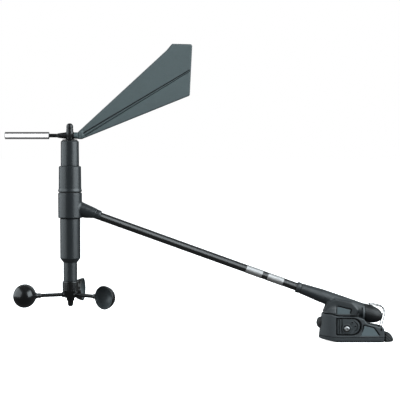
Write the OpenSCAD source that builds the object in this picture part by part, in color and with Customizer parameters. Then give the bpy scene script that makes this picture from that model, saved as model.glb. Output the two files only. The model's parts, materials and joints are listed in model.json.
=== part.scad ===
// Masthead wind transducer: cup rotor below, wind vane above, spar, and a
// mast shoe with a wire bail. Millimetres, +Z up.
// Origin: centre of the mast shoe's flat mounting face. -X points to the
// sensor head, +X to the rear of the shoe.

/* [Head] */
// Distance of the head's vertical axis in front of the origin
head_reach = 302.1; // [290:0.1:315]
// Outer radius of the body collar and of the sleeve's foot
collar_r = 12.8; // [12.5:0.1:13.4]
// Outer radius of the lower tube
lower_r = 10.9; // [10.6:0.1:11.2]
// Outer radius of the neck that the rotor hub covers
neck_r = 7.4; // [6.8:0.1:7.4]
// Radius of both steel shafts
shaft_r = 1.5; // [1.3:0.1:1.6]
// Radial running clearance of shafts and pins
run_gap = 0.04; // [0.02:0.01:0.08]

/* [Cup rotor] */
// Distance of each cup's centre from the head axis
cup_reach = 50.2; // [48:0.1:56]
// Outer radius of a cup's rim
cup_r = 12.7; // [11.5:0.1:13.5]
// Depth of a cup outside
cup_depth = 13.4; // [12:0.1:16]
// Wall thickness of a cup
cup_wall = 1.0; // [0.8:0.1:1.4]
// Radius of the cup arms
arm_r = 2.0; // [1.6:0.1:2.2]
// Heading of the first cup arm at rest, degrees about +Z
cup_heading = 202.5; // [0:0.1:359]

/* [Wind vane] */
// Highest point of the vane blade
vane_top = 319.3; // [300:0.1:330]
// Thickness of the blade plate
blade_t = 1.8; // [1.2:0.1:2.4]
// Radius of the counterweight
weight_r = 3.85; // [3.4:0.05:4.2]
// Length of the counterweight
weight_len = 47.5; // [40:0.5:55]

/* [Spar] */
// Angle of the spar below level, falling to the rear
spar_drop = 19.81; // [19.6:0.01:20]
// Outer radius of the spar tube
spar_r = 4.3; // [4.0:0.05:4.4]
// Inner radius of the spar tube
spar_bore_r = 2.9; // [2.4:0.1:3.2]

/* [Mast shoe] */
// Half width of the shoe
shoe_hw = 13; // [12.6:0.1:14]
// Thickness of the floor under the lug
floor_t = 4; // [3:0.1:4.8]
// Radius of the two mounting screw holes
screw_hole_r = 2.2; // [1.8:0.1:2.4]
// Distance between the two mounting screw holes
screw_pitch = 44; // [42:0.5:45]
// Radius of the pivot bolt's shank
pivot_r = 1.5; // [1.3:0.1:1.6]

/* [Bail] */
// Radius of the bail wire
wire_r = 0.5; // [0.4:0.05:0.55]

/* [Hidden] */

$fn = 96;
head_x = -head_reach;
fit = 0.03;           // gap between fixed parts that touch
press = 0.01;         // radial gap of parts pressed onto a shaft or tube
spar_z = 146.4;       // height where the spar's axis meets the head axis
pivot_x = -5.6;       // arm pivot
pivot_z = 14.9;
cap_x = 14.5;         // parting plane between socket flange and cap
cap_z = 31.2;
cap_drop = 16;        // angle of the cap's axis below level

charcoal = [0.17, 0.19, 0.20];
dark = [0.09, 0.10, 0.105];
blade_grey = [0.27, 0.32, 0.33];
steel = [0.78, 0.79, 0.80];
spacer_grey = [0.7, 0.7, 0.6];
magnet_grey = [0.4, 0.4, 0.42];
chip_black = [0.1, 0.1, 0.1];

// ---- helpers ----
function unit(vector) = vector / norm(vector);
function xy(point) = [point.x, point.y];
function heading(vector) = atan2(vector.y, vector.x);
function fillet(before, corner, after, radius, steps) =
    let (to_before = unit(before - corner),
         to_after = unit(after - corner),
         half = acos(to_before * to_after) / 2,
         centre = corner + unit(to_before + to_after) * radius / sin(half),
         start = heading(corner + to_before * radius / tan(half) - centre),
         end = heading(corner + to_after * radius / tan(half) - centre),
         sweep = (end - start + 900) % 360 - 180)
    [for (i = [0:steps]) let (a = start + sweep * i / steps) centre + radius * [cos(a), sin(a)]];
// outline from a table of [x, y, fillet radius]
function rounded(table, steps = 6) = let (count = len(table))
    [for (i = [0:count - 1])
        let (before = table[(i + count - 1) % count], point = table[i], after = table[(i + 1) % count])
        each (point[2] == 0 ? [xy(point)] : fillet(xy(before), xy(point), xy(after), point[2], steps))];
// domed end of a turned profile, up to the axis
function dome(radius, base, rise, step) =
    concat([for (a = [0:step:84]) [radius * cos(a), base + rise * sin(a)]], [[0, base + rise]]);

// 2D children drawn in X and Z, extruded along Y
module slab(y0, y1) {
    translate([0, y1, 0]) rotate([90, 0, 0]) linear_extrude(y1 - y0) children();
}
// outline of [x, z], extruded to a width centred on Y = 0
module side(width, outline) {
    slab(-width / 2, width / 2) polygon(outline);
}
module both_sides() {
    for (m = [0, 1]) mirror([0, m, 0]) children();
}
module at_head() {
    translate([head_x, 0, 0]) children();
}
// frame with +Z along the spar to the rear, from the head axis
module on_spar() {
    translate([head_x, 0, spar_z]) rotate([0, 90 + spar_drop, 0]) children();
}
// frame with +Z along the cap's axis to the rear
module on_cap() {
    translate([cap_x, 0, cap_z]) rotate([0, 90 + cap_drop, 0]) children();
}
// profile of [radius, height], turned about Z
module turned(profile) {
    rotate_extrude() polygon(profile);
}
module tube(outer, inner, z0, z1) {
    turned([[inner, z0], [outer, z0], [outer, z1], [inner, z1]]);
}
module rod(radius, z0, z1) {
    translate([0, 0, z0]) cylinder(r = radius, h = z1 - z0);
}
module x_rod(x0, x1, z, radius) {
    translate([x0, 0, z]) rotate([0, 90, 0]) cylinder(r = radius, h = x1 - x0);
}
module y_rod(x, z, radius, y0, y1) {
    translate([x, y0, z]) rotate([-90, 0, 0]) cylinder(r = radius, h = y1 - y0);
}
module pivot_rod(radius, y0, y1) {
    y_rod(pivot_x, pivot_z, radius, y0, y1);
}
// split ring on a shaft, its gap towards +X
module clip(z0, outer) {
    difference() {
        tube(outer, shaft_r + press, z0, z0 + 0.6);
        translate([0, -0.5, z0 - 1]) cube([4, 1, 3]);
    }
}

// ---- mast shoe ----
shoe_rear = 35.2;
shoe_chamfer = 1.2;   // rear corners, seen from above
nose_x = -16.5;       // where the rounded nose starts
nose_len = 18.4;
plate_x = -15.6;      // front edge of the side plates
plate_z = 8.2;
plate_h = 17.7;
plate_mid_z = plate_z + plate_h / 2;
plug_x = -34.3;       // plane of the nose plug's largest radius
plug_z = 20.2;
plug_r = 6.35;
stem_r = 3.0;         // stems of the nose plug and the rear bumper
seat_gap = 0.05;      // radial gap around plug and stems
bumper_z = 5.2;
bail_x = 31.8;        // bail pivot
bail_z = 13.8;
leg_y = 7;            // half distance between the bail's legs

// side view: [x, z, fillet radius]
shoe_side = rounded([
    [-34.9, 3.9, 1.2], [-15.6, 0, 6], [shoe_rear, 0, 1.0], [shoe_rear, 14.8, 1.2],
    [32.6, 15.7, 2], [23, 17.7, 20], [16.6, 19.3, 3.2], [13.3, 24.4, 1.0], [12.2, 25.2, 0.8],
    [6.5, 27.0, 2], [-16, 28.0, 3], [-22.5, 30.4, 3], [-31.2, 30.6, 1.5]]);
// rear side panel: [x, z, fillet radius]
panel = rounded([
    [9.4, 6.7, 0.5], [30.2, 6.5, 0.8], [27.6, 10.4, 2],
    [23.4, 16.2, 2.2], [12.4, 18.6, 1.0], [12.4, 15.6, 3]]);
// plan: [x, y]
shoe_plan = concat(
    [for (a = [-90:7.5:90]) [nose_x - nose_len * cos(a), shoe_hw * sin(a)]],
    [[shoe_rear - shoe_chamfer, shoe_hw], [shoe_rear, shoe_hw - shoe_chamfer],
     [shoe_rear, -shoe_hw + shoe_chamfer], [shoe_rear - shoe_chamfer, -shoe_hw]]);

// keeps what lies inside the shoe's plan
module within_plan() {
    intersection() {
        children();
        linear_extrude(60) polygon(shoe_plan);
    }
}
module plate_shape(grow) {
    translate([plate_x - grow, plate_z - grow]) square([17 + grow, plate_h + 2 * grow]);
    translate([1.35, plate_mid_z]) circle(r = plate_h / 2 + grow);
}

module mast_shoe() color(charcoal) difference() {
    within_plan() side(2 * shoe_hw, shoe_side);
    // slot for the lug, open at the top
    translate([-25, -7.3, floor_t]) cube([38, 14.6, 40]);
    // central deck, lower than the side horns
    side(20, [[10, 18.3], [16.6, 18.2], [23, 16.3], [31, 14.6], [31, 30], [10, 30]]);
    // recesses for the side plates and for the rear side panels
    both_sides() {
        slab(-shoe_hw - 1, -shoe_hw + 1.6) plate_shape(0.3);
        slab(-shoe_hw - 1, -shoe_hw + 0.7) polygon(panel);
    }
    pivot_rod(pivot_r + run_gap, -20, 20);
    // mounting screw holes with counterbores
    for (m = [-1, 1]) translate([2 + m * screw_pitch / 2, 0, 0]) {
        rod(screw_hole_r, -1, 49);
        rod(4.4, 4, 54);
    }
    // bail: a cross bore and two slots for the legs
    y_rod(bail_x, bail_z, wire_r + run_gap, -20, 20);
    for (m = [-1, 1]) translate([bail_x - 0.9, m * leg_y - 0.9, 13.0]) cube([10, 1.8, 10]);
    // seats of the nose plug and of the rear bumper
    x_rod(plug_x - 5, plug_x + 3.02, plug_z, plug_r + seat_gap);
    x_rod(plug_x, plug_x + 8, plug_z, stem_r + seat_gap);
    x_rod(29.5, 40, bumper_z, stem_r + seat_gap);
}

module side_plate() color(dark) difference() {
    union() {
        slab(-shoe_hw + 0.75, -shoe_hw + 1.57) plate_shape(0);
        // boss around the bolt
        pivot_rod(5.0, -shoe_hw + 0.1, -shoe_hw + 1);
        // two curved ribs
        slab(-shoe_hw + 0.25, -shoe_hw + 1) intersection() {
            plate_shape(0);
            for (rib_r = [13.2, 15.2]) translate([0.6, plate_mid_z]) difference() {
                circle(r = rib_r);
                circle(r = rib_r - 0.9);
            }
        }
    }
    pivot_rod(pivot_r + run_gap, -20, 0);
    // two small holes: [x, z]
    for (hole = [[0.2, 21.2], [3.6, 17.2]])
        y_rod(hole.x, hole.y, 0.8, -shoe_hw - 1, -shoe_hw + 1.1, $fn = 12);
}
module side_plate_near() side_plate();
module side_plate_far() mirror([0, 1, 0]) side_plate();

// domed head with a cross recess on the -Y side
module pivot_bolt() color(steel) {
    difference() {
        translate([pivot_x, -shoe_hw + 0.07, pivot_z]) rotate([90, 0, 0])
            turned([[0, 0], [2.95, 0], [2.95, 0.9], [2.6, 1.5], [1.9, 1.9], [0, 2.05]]);
        for (a = [45, 135]) translate([pivot_x, -shoe_hw - 2, pivot_z]) rotate([0, a, 0])
            cube([2.6, 1.6, 0.5], center = true);
    }
    pivot_rod(pivot_r, -shoe_hw + 0.05, shoe_hw + 3.4);
}
module pivot_washer() color(steel) difference() {
    pivot_rod(3.5, shoe_hw - 0.07, shoe_hw + 0.43);
    pivot_rod(pivot_r + 0.1, 0, 30);
}
module pivot_nut() color(steel) difference() {
    pivot_rod(3.15, shoe_hw + 0.46, shoe_hw + 2.86, $fn = 6);
    pivot_rod(pivot_r + press, 0, 30);
}
module nose_plug() color(dark) translate([plug_x, 0, plug_z]) rotate([0, -90, 0])
    turned(concat([[0, -7], [stem_r, -7], [stem_r, -3.0], [plug_r, -3.0]],
        dome(plug_r, 0.2, 2.8, 12)));
module rear_bumper() color(dark) {
    intersection() {
        translate([shoe_rear + 0.1, 0, 0]) sphere(r = 10.8);
        translate([shoe_rear + 0.1, -20, 0]) cube([20, 40, 20]);
    }
    x_rod(30, 35.4, bumper_z, stem_r);
}

// ---- arm socket, plug and cap ----
bush_r = 2.5;
cap_r = 9.4;
pin_r = 0.5;
// side views: [x, z, fillet radius]
skirt_front = [[-26.0, 42, 1], [-30.0, 31.2, 0.8], [-22.4, 30.9, 3]];
skirt_side = rounded(concat(skirt_front, [
    [-16, 28.4, 3], [4.6, 28.4, 0.8], [6.4, 34.5, 2], [0, 42, 2], [-18, 46, 2]]));
wide_skirt_side = rounded(concat(skirt_front, [[-17.5, 29.0, 1], [-16.9, 41, 1]]));
window = rounded([[-16.0, 29.5, 0.5], [-1.9, 29.5, 0.7], [-0.4, 35.2, 0.7], [-16.0, 38.9, 0.5]]);

module arm_socket() color(charcoal) difference() {
    union() {
        // round socket on the spar's axis, cut at the vertical parting plane
        intersection() {
            on_spar() turned([[0, 258.6], [5.55, 258.6], [5.95, 259.1], [5.95, 261.6],
                [5.6, 262.3], [7.25, 287], [7.65, 310], [7.8, 345], [0, 345]]);
            translate([-100, -20, 0]) cube([100 + cap_x - 0.05, 40, 100]);
        }
        x_rod(cap_x - 2.6, cap_x - 0.05, 31.5, 8.9);
        // skirt over the nose and over the cheeks
        within_plan() side(18.6, skirt_side);
        within_plan() side(30, wide_skirt_side);
        // lug between the cheeks
        side(13.8, [[-19, 31], [-14.6, 14.9], [3.4, 14.9], [8.5, 30], [4, 36], [-19, 36]]);
        pivot_rod(9, -6.9, 6.9);
        side(10, [[3, 24], [12.5, 25.5], [12.5, 33], [3, 33]]);
    }
    both_sides() slab(-12, -8.5) polygon(window);
    pivot_rod(bush_r + fit, -20, 20);
    on_spar() rod(spar_r + fit, 250, 301);
    on_spar() rod(2.9, 300, 331);
    on_cap() rod(5.65, -8, 20);
}
module pivot_bush() color("goldenrod") difference() {
    pivot_rod(bush_r, -7.1, 7.1);
    pivot_rod(pivot_r + run_gap, -20, 20);
}
// five rods evenly spaced around the cap's axis
module pin_ring(radius, z0, z1) {
    for (i = [0:4]) rotate([0, 0, 72 * i]) translate([2.7, 0, 0]) rod(radius, z0, z1, $fn = 24);
}
module plug_insert() color([0.2, 0.2, 0.22]) on_cap() difference() {
    rod(5.6, -7.5, 7);
    rod(4.6, 2, 8);
    rod(2.0, -8, -3);
    pin_ring(pin_r + 0.02, -8, 12);
}
module plug_pins() color("gold") on_cap() pin_ring(pin_r, -6.5, 6);
module plug_seal() color(dark) on_cap() translate([0, 0, 4.2])
    rotate_extrude() translate([6.0, 0]) circle(r = 0.33, $fn = 32);
module connector_cap() color(dark) difference() {
    intersection() {
        on_cap() turned(concat([[0, -6], [cap_r - 0.35, -6], [cap_r, -2]],
            dome(cap_r, 4.5, 15.9, 8)));
        translate([cap_x + fit, -20, 0]) cube([40, 40, 60]);
    }
    on_cap() rod(6.4, -10, 11);
}

// ---- spar ----
module band(z0, z1) color(steel) on_spar() tube(spar_r + 0.16, spar_r + press, z0, z1);
module spar_tube() color(dark) on_spar() tube(spar_r, spar_bore_r, 14.6, 300);
module band_front() band(201.0, 219.4);
module band_rear() band(225.6, 243.3);
module spar_cable() color([0.12, 0.12, 0.13]) on_spar() rod(1.9, 8.5, 327);

// ---- sensor head body ----
collar_top = 160;
spigot_r = 11.3;      // collar's spigot and the upper tube's foot
spigot_top = 168;
lower_spigot_r = 10.05;
carrier_r = 6.95;     // vane bearing carrier
carrier_top = 213.9;
bearing_r = 4.0;
bearing_w = 4.0;
bearing_seat_r = bearing_r + fit;
direction_board_z = 155.55;   // undersides of the boards
speed_board_z = 104.05;
board_t = 1.6;
direction_screw_y = 7.2;      // distances of the board screws from the axis
speed_screw_y = 6.2;

// pilot holes of two board screws
module pilot_holes(screw_y, z0, z1) {
    for (m = [-1, 1]) translate([0, m * screw_y, 0]) rod(0.72, z0, z1, $fn = 24);
}
module body_collar() color(charcoal) difference() {
    union() {
        at_head() turned([[0, 133.9], [0.1, 133.0], [collar_r - 1, 133.0], [collar_r, 134.0],
            [collar_r, collar_top - 0.4], [collar_r - 0.4, collar_top],
            [spigot_r, collar_top], [spigot_r, spigot_top], [0, spigot_top]]);
        on_spar() turned([[0, 5], [8.3, 5], [8.0, 11], [6.5, 28.5], [6.2, 29.5],
            [6.0, 32.5], [5.45, 34.5], [0, 34.5]]);
    }
    at_head() {
        rod(lower_spigot_r + 0.05, 130, 141);
        rod(8.3, 140, 152.6);
        rod(5.9, 152, 156);
        pilot_holes(direction_screw_y, 152, 156);
        rod(9.0, 155.4, 170);
    }
    on_spar() rod(spar_r + fit, 14.5, 40);
    on_spar() rod(2.3, 0, 20);
}
module sleeve_seal() color(dark) at_head()
    tube(11.75, spigot_r + 0.02, collar_top + 0.06, 161.14);
module upper_sleeve() color(charcoal) at_head() turned([
    [11.4, 161.2], [collar_r, 161.2], [collar_r, 162.2], [12.15, 164.6], [11.9, 187.7],
    [11.0, 188.7], [9.9, 188.7], [9.9, 171.15], [11.4, 171.15]]);
module upper_tube() color(charcoal) at_head() turned([
    [8.0, spigot_top + 0.06], [spigot_r, spigot_top + 0.06], [spigot_r, 171.1],
    [9.83, 171.1], [9.85, 189.5], [9.65, 214.9], [8.65, 215.9], [2.1, 215.9],
    [2.1, carrier_top + 0.05], [carrier_r + 0.05, carrier_top + 0.05],
    [carrier_r + 0.05, 175.9], [8.0, 175.9]]);
module lower_tube() color(charcoal) at_head() difference() {
    turned([
        [bearing_seat_r, 58], [neck_r - 0.5, 58], [neck_r, 58.5], [neck_r, 85.4],
        [8.2, 85.9], [lower_r, 89.6], [lower_r, 132.3], [lower_r - 0.3, 132.85],
        [lower_spigot_r, 132.85], [lower_spigot_r, 139.9], [8.8, 139.9], [8.8, 104.0],
        [5.3, 104.0], [5.3, 101.6], [8.8, 98.6], [8.8, 91], [5.5, 87], [5.5, 84],
        [3.0, 84], [3.0, 82.1], [bearing_seat_r, 82.1]]);
    pilot_holes(speed_screw_y, 98, 105);
}
module lower_seal() color(dark) at_head() tube(lower_spigot_r, 9.0, 139.95, 140.85);

// ---- bearings ----
vane_lower_z = 180.02;        // undersides of the bearings
vane_upper_z = 208.0;
rotor_lower_z = 58.9;
rotor_upper_z = 78.05;

// one ring with a shallow groove in each face
module bearing(z0) color(steel) at_head() {
    inner = shaft_r + run_gap;
    outer = bearing_r;
    z1 = z0 + bearing_w;
    lip = 0.6;
    groove = 0.5;
    turned([[inner, z0], [inner + lip, z0], [inner + lip, z0 + groove],
        [outer - lip, z0 + groove], [outer - lip, z0], [outer, z0],
        [outer, z1], [outer - lip, z1], [outer - lip, z1 - groove],
        [inner + lip, z1 - groove], [inner + lip, z1], [inner, z1]]);
}
// sleeve between two bearings
module bearing_spacer(lower_z, upper_z) color(spacer_grey) at_head()
    tube(bearing_r - 0.02, 3.1, lower_z + bearing_w + fit, upper_z - fit);
module vane_bearing_carrier() color([0.62, 0.63, 0.65]) at_head() turned([
    [2.7, 176.0], [carrier_r, 176.0], [carrier_r, carrier_top],
    [bearing_seat_r, carrier_top], [bearing_seat_r, 180.0], [2.7, 180.0]]);
module vane_bearing_lower() bearing(vane_lower_z);
module vane_bearing_upper() bearing(vane_upper_z);
module vane_bearing_spacer() bearing_spacer(vane_lower_z, vane_upper_z);
module rotor_bearing_lower() bearing(rotor_lower_z);
module rotor_bearing_upper() bearing(rotor_upper_z);
module rotor_bearing_spacer() bearing_spacer(rotor_lower_z, rotor_upper_z);

// ---- boards, sensors and loom ----
module board(z0, screw_y) color("darkgreen") at_head() difference() {
    rod(8.7, z0, z0 + board_t);
    for (m = [-1, 1]) translate([0, m * screw_y, 0]) rod(0.75, z0 - 4, z0 + 6, $fn = 24);
}
module direction_board() board(direction_board_z, direction_screw_y);
module speed_board() board(speed_board_z, speed_screw_y);
module direction_sensor() color(chip_black) at_head()
    translate([-2, -2, direction_board_z + board_t + 0.02]) cube([4, 4, 1.1]);
module speed_sensor() color(chip_black) at_head() translate([2.2, -2, 102.9]) cube([2.4, 4, 1.12]);
// the two screws of one board
module screw_pair(screw_y, board_z) {
    for (m = [-1, 1]) translate([0, m * screw_y, board_z + board_t + fit]) {
        cylinder(r = 1.25, h = 0.9, $fn = 32);
        translate([0, 0, -2.4]) cylinder(r = 0.7, h = 2.5, $fn = 24);
    }
}
module board_screws() color(steel) at_head() {
    screw_pair(direction_screw_y, direction_board_z);
    screw_pair(speed_screw_y, speed_board_z);
}
module head_loom() color([0.35, 0.1, 0.1]) at_head() {
    rod(0.7, 105.7, 142.5);
    rod(2.2, 142.4, 145.4);
    x_rod(0, 4.6, 143.9, 0.8);
    rod(0.7, 145.3, 155.5);
}

// ---- wind vane ----
vane_z = 221.3;       // height of the counterweight and the vane hub's cross axis
vane_hub_z0 = 217.4;
vane_hub_z1 = 229.0;
peg_r = 1.2;          // pegs of blade and counterweight rod in the hub
// blade: [x from the head axis, z, fillet radius]
blade = rounded([
    [9.1, 217.8, 0.6], [13.6, 217.7, 4], [128.6, 264.0, 2.2], [131.3, vane_top - 0.5, 2.2],
    [109.6, vane_top, 2.2], [103.6, 312.2, 2], [10.9, 227.1, 2], [9.1, 224.9, 0.8]]);
blade_root = rounded([
    [9.1, 217.9, 0.5], [12.5, 217.9, 2], [14.5, 220.0, 1],
    [13.6, 225.6, 1], [11, 226.2, 1.5], [9.1, 224.7, 0.5]]);

module vane_hub() color(dark) at_head() difference() {
    union() {
        turned([[0, vane_hub_z0], [3.9, vane_hub_z0], [4.15, 218.0], [3.95, 221.0], [3.8, 225.5],
            [3.75, 228.6], [3.55, vane_hub_z1], [0, vane_hub_z1]]);
        translate([0, 0, vane_z]) rotate([0, -90, 0])
            turned([[0, -4.6], [3.6, -4.6], [3.6, 4], [3.4, 5.4], [2.2, 13.4], [0, 13.4]]);
    }
    rod(shaft_r + press, 210, 240);
    x_rod(-20, -6, vane_z, peg_r + 0.02);
    x_rod(2.3, 20, vane_z, peg_r + 0.02);
}
module vane_blade() color(blade_grey) at_head() {
    side(blade_t, blade);
    side(4.0, blade_root);
    // tapered spine
    side(3.2, [[13, 219.9], [129.0, 290.5], [129.3, 291.4], [13, 222.3]]);
    x_rod(4.65, 9.4, vane_z, 3.5);
    x_rod(2.4, 4.8, vane_z, peg_r);
}
module counterweight_rod() color(dark) at_head() {
    x_rod(-22.0, -13.45, vane_z, 2.0);
    x_rod(-34, -21.9, vane_z, 1.5);
    x_rod(-13.5, -6.2, vane_z, peg_r);
}
module counterweight() color(steel) at_head()
    translate([-22.03, 0, vane_z]) rotate([0, -90, 0]) difference() {
        turned([[0, 0], [weight_r - 0.6, 0], [weight_r, 0.6], [weight_r, weight_len - 0.6],
            [weight_r - 0.6, weight_len], [0, weight_len]]);
        rod(1.52, -1, 13);
    }
module vane_shaft() color(steel) at_head() rod(shaft_r, 167.2, 232.4);
module vane_nut() color(dark) at_head() difference() {
    turned([[0, vane_hub_z1 + fit], [3.5, vane_hub_z1 + fit], [3.65, 229.4], [3.65, 231.2],
        [3.35, 232.5], [2.6, 233.6], [1.4, 234.3], [0, 234.5]]);
    rod(shaft_r + press, 225, 232.5);
}
module rain_shield() color(dark) at_head() tube(8.2, shaft_r + press, 216.05, vane_hub_z0 - fit);
module direction_magnet() color(magnet_grey) at_head() difference() {
    rod(3.0, 164.0, 168.5);
    rod(shaft_r + press, 167.18, 175);
}
module vane_clip() color(steel) at_head() clip(179.35, 2.55);

// ---- cup rotor ----
arm_z = 50.6;         // height of the cup arms
rim_y = -3.2;         // plane of a cup's rim, beside its arm's axis
bowl_base = 0.6;      // where a bowl's curve starts above the rim

module on_arm(i) {
    rotate([0, 0, cup_heading + 120 * i]) children();
}
// rounded cone: [radius, depth] from the rim to the tip
function bowl(radius, depth, start) = concat(
    [for (k = [0:12]) let (a = start + (86 - start) * k / 12)
        [radius * pow(cos(a), 1.12), bowl_base + (depth - bowl_base) * pow(sin(a), 1.12)]],
    [[0, depth]]);
// profile turned about Y, its height measured from the rim plane
module cup_turned(profile) {
    translate([0, rim_y, 0]) rotate([-90, 0, 0]) turned(profile);
}
module rotor_hub() color(dark) at_head() difference() {
    union() {
        turned([[0, 46.95], [5.6, 46.95], [6.0, 47.4], [7.3, 52.4], [8.6, 54.4], [8.6, 64.2],
            [8.2, 64.7], [neck_r + 0.4, 64.7], [neck_r + 0.4, 57.4], [2.6, 57.4],
            [2.3, 58.8], [0, 58.8]]);
        for (i = [0:2]) on_arm(i) x_rod(3, 9.4, arm_z, arm_r + 0.9);
    }
    rod(shaft_r + press, 40, 70);
    for (i = [0:2]) on_arm(i) x_rod(4.2, 20, arm_z, arm_r + press);
}
module cup_arm(i) color(dark) at_head() on_arm(i)
    x_rod(4.25, cup_reach - cup_r + 0.6, arm_z, arm_r);
module cup(i) color(dark) at_head() on_arm(i) translate([cup_reach, 0, arm_z]) difference() {
    union() {
        cup_turned(concat([[0, 0], [cup_r - 0.5, -0.2], [cup_r, 0.3]], bowl(cup_r, cup_depth, 4)));
        x_rod(-cup_r - 4.2, -cup_r + 1.6, 0, arm_r + 0.7);
    }
    cup_turned(concat([[0, -2], [cup_r - cup_wall, -2]],
        bowl(cup_r - cup_wall, cup_depth - cup_wall, 0)));
    x_rod(-cup_r - 10, -cup_r + 0.65, 0, arm_r + 0.02);
}
module cup_arm_1() cup_arm(0);
module cup_arm_2() cup_arm(1);
module cup_arm_3() cup_arm(2);
module cup_1() cup(0);
module cup_2() cup(1);
module cup_3() cup(2);
module rotor_shaft() color(steel) at_head() rod(shaft_r, 41, 97);
module rotor_nut() color(dark) at_head() difference() {
    turned([[0, 37.6], [1.5, 37.7], [2.5, 38.4], [3.0, 39.9], [3.2, 43.4], [3.9, 44.0],
        [4.4, 46.9], [0, 46.9]]);
    rod(shaft_r + press, 40.9, 50);
}
module speed_magnet() color(magnet_grey) at_head() tube(6.4, shaft_r + press, 93, 97.5);
module rotor_clip() color(steel) at_head() clip(82.25, 2.7);

// ---- bail ----
bend_r = 1.1;         // bend between leg and crossbar
bar_x = -11.0;        // end of the leg, from the bail's pivot
// centre line of one leg from its foot: [x, z, fillet radius], from the bail's pivot
leg = rounded([
    [0, 0, 0], [1.5, 7.4, 6], [4.2, 17.6, 6], [2.4, 23.6, 3.2], [-7.4, 26.07, 12],
    [bar_x, 26.37, 0]], 3);
function side_path(m) = concat(
    [for (point = leg) [bail_x + point.x, m * leg_y, bail_z + point.y]],
    [for (a = [30:30:90])
        [bail_x + bar_x - bend_r * sin(a), m * (leg_y - bend_r * (1 - cos(a))), bail_z + 26.4]]);
far_path = side_path(1);
wire_path = concat(side_path(-1), [for (k = [len(far_path) - 1:-1:0]) far_path[k]]);
function tangent(path, i) = unit(path[min(i + 1, len(path) - 1)] - path[max(i - 1, 0)]);
// the part of a vector square to the path at point i
function squared(vector, path, i) =
    unit(vector - (vector * tangent(path, i)) * tangent(path, i));
// normals that follow the wire without twisting
function normals(path) = [
    for (i = 0, normal = unit(cross([0, 1, 0], tangent(path, 0))); i < len(path);
        i = i + 1, normal = i < len(path) ? squared(normal, path, i) : normal) normal];
module wire(path, radius, sides) {
    count = len(path);
    normal = normals(path);
    polyhedron(
        points = [for (i = [0:count - 1], j = [0:sides - 1]) let (a = 360 * j / sides)
            path[i] + radius * (cos(a) * normal[i] + sin(a) * cross(tangent(path, i), normal[i]))],
        faces = concat(
            [[for (j = [0:sides - 1]) j]],
            [for (i = [0:count - 2], j = [0:sides - 1])
                let (here = i * sides, ahead = here + sides, next = (j + 1) % sides)
                each [[here + j, ahead + j, here + next], [here + next, ahead + j, ahead + next]]],
            [[for (j = [0:sides - 1]) count * sides - 1 - j]]));
}
module wire_bail() color(steel) {
    wire(wire_path, wire_r, 10);
    both_sides() y_rod(bail_x, bail_z, wire_r, leg_y - 0.5, shoe_hw - 1.2);
}

mast_shoe();
side_plate_near();
side_plate_far();
pivot_bolt();
pivot_nut();
pivot_washer();
nose_plug();
rear_bumper();
arm_socket();
pivot_bush();
spar_tube();
band_front();
band_rear();
spar_cable();
plug_insert();
plug_pins();
plug_seal();
connector_cap();
body_collar();
sleeve_seal();
upper_sleeve();
upper_tube();
lower_tube();
lower_seal();
vane_bearing_carrier();
vane_bearing_upper();
vane_bearing_lower();
vane_bearing_spacer();
direction_board();
direction_sensor();
rotor_bearing_upper();
rotor_bearing_lower();
rotor_bearing_spacer();
speed_board();
speed_sensor();
board_screws();
head_loom();
vane_hub();
vane_blade();
counterweight_rod();
counterweight();
vane_shaft();
vane_nut();
rain_shield();
direction_magnet();
vane_clip();
rotor_hub();
cup_arm_1();
cup_arm_2();
cup_arm_3();
cup_1();
cup_2();
cup_3();
rotor_shaft();
rotor_nut();
speed_magnet();
rotor_clip();
wire_bail();
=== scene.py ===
# Wind sensor: a cup rotor and a vane on an upright head, held by a spar from a mast shoe.
# +Z is up. The head stands at the -X end and the shoe at the +X end; the spar slopes down
# from head to shoe. The vane's blade points to +X and its counterweight to -X. The camera
# looks along +Y. Shapes are worked out in millimetres, the scene is in metres.
import json
import math
from functools import reduce

import bpy
import numpy as np
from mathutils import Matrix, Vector

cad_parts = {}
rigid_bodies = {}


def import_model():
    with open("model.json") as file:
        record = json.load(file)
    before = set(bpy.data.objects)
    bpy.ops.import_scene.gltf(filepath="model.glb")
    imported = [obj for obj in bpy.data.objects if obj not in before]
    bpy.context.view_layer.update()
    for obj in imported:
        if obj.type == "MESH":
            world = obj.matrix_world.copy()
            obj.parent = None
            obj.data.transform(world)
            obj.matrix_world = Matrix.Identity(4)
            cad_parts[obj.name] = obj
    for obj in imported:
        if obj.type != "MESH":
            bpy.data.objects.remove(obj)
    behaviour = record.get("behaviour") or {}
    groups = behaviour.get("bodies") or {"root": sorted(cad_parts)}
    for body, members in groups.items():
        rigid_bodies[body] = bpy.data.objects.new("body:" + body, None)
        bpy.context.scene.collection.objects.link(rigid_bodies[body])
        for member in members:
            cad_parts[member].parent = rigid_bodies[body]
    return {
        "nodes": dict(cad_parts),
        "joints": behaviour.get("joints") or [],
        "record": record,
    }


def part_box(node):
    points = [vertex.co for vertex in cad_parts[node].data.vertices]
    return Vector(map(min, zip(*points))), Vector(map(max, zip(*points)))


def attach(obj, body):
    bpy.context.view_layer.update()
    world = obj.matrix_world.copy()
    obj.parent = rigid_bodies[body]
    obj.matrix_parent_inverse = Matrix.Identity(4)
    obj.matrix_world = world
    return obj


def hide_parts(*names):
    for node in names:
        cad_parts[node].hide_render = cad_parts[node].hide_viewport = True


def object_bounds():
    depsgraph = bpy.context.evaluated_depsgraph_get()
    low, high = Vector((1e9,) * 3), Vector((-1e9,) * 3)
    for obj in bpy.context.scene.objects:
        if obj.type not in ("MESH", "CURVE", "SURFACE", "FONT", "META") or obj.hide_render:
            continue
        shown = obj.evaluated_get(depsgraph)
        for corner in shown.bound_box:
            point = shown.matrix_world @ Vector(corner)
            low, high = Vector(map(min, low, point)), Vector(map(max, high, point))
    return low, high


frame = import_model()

CAD_LO, CAD_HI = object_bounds()
nodes = frame["nodes"]
record = frame["record"]
scene = bpy.context.scene


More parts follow.
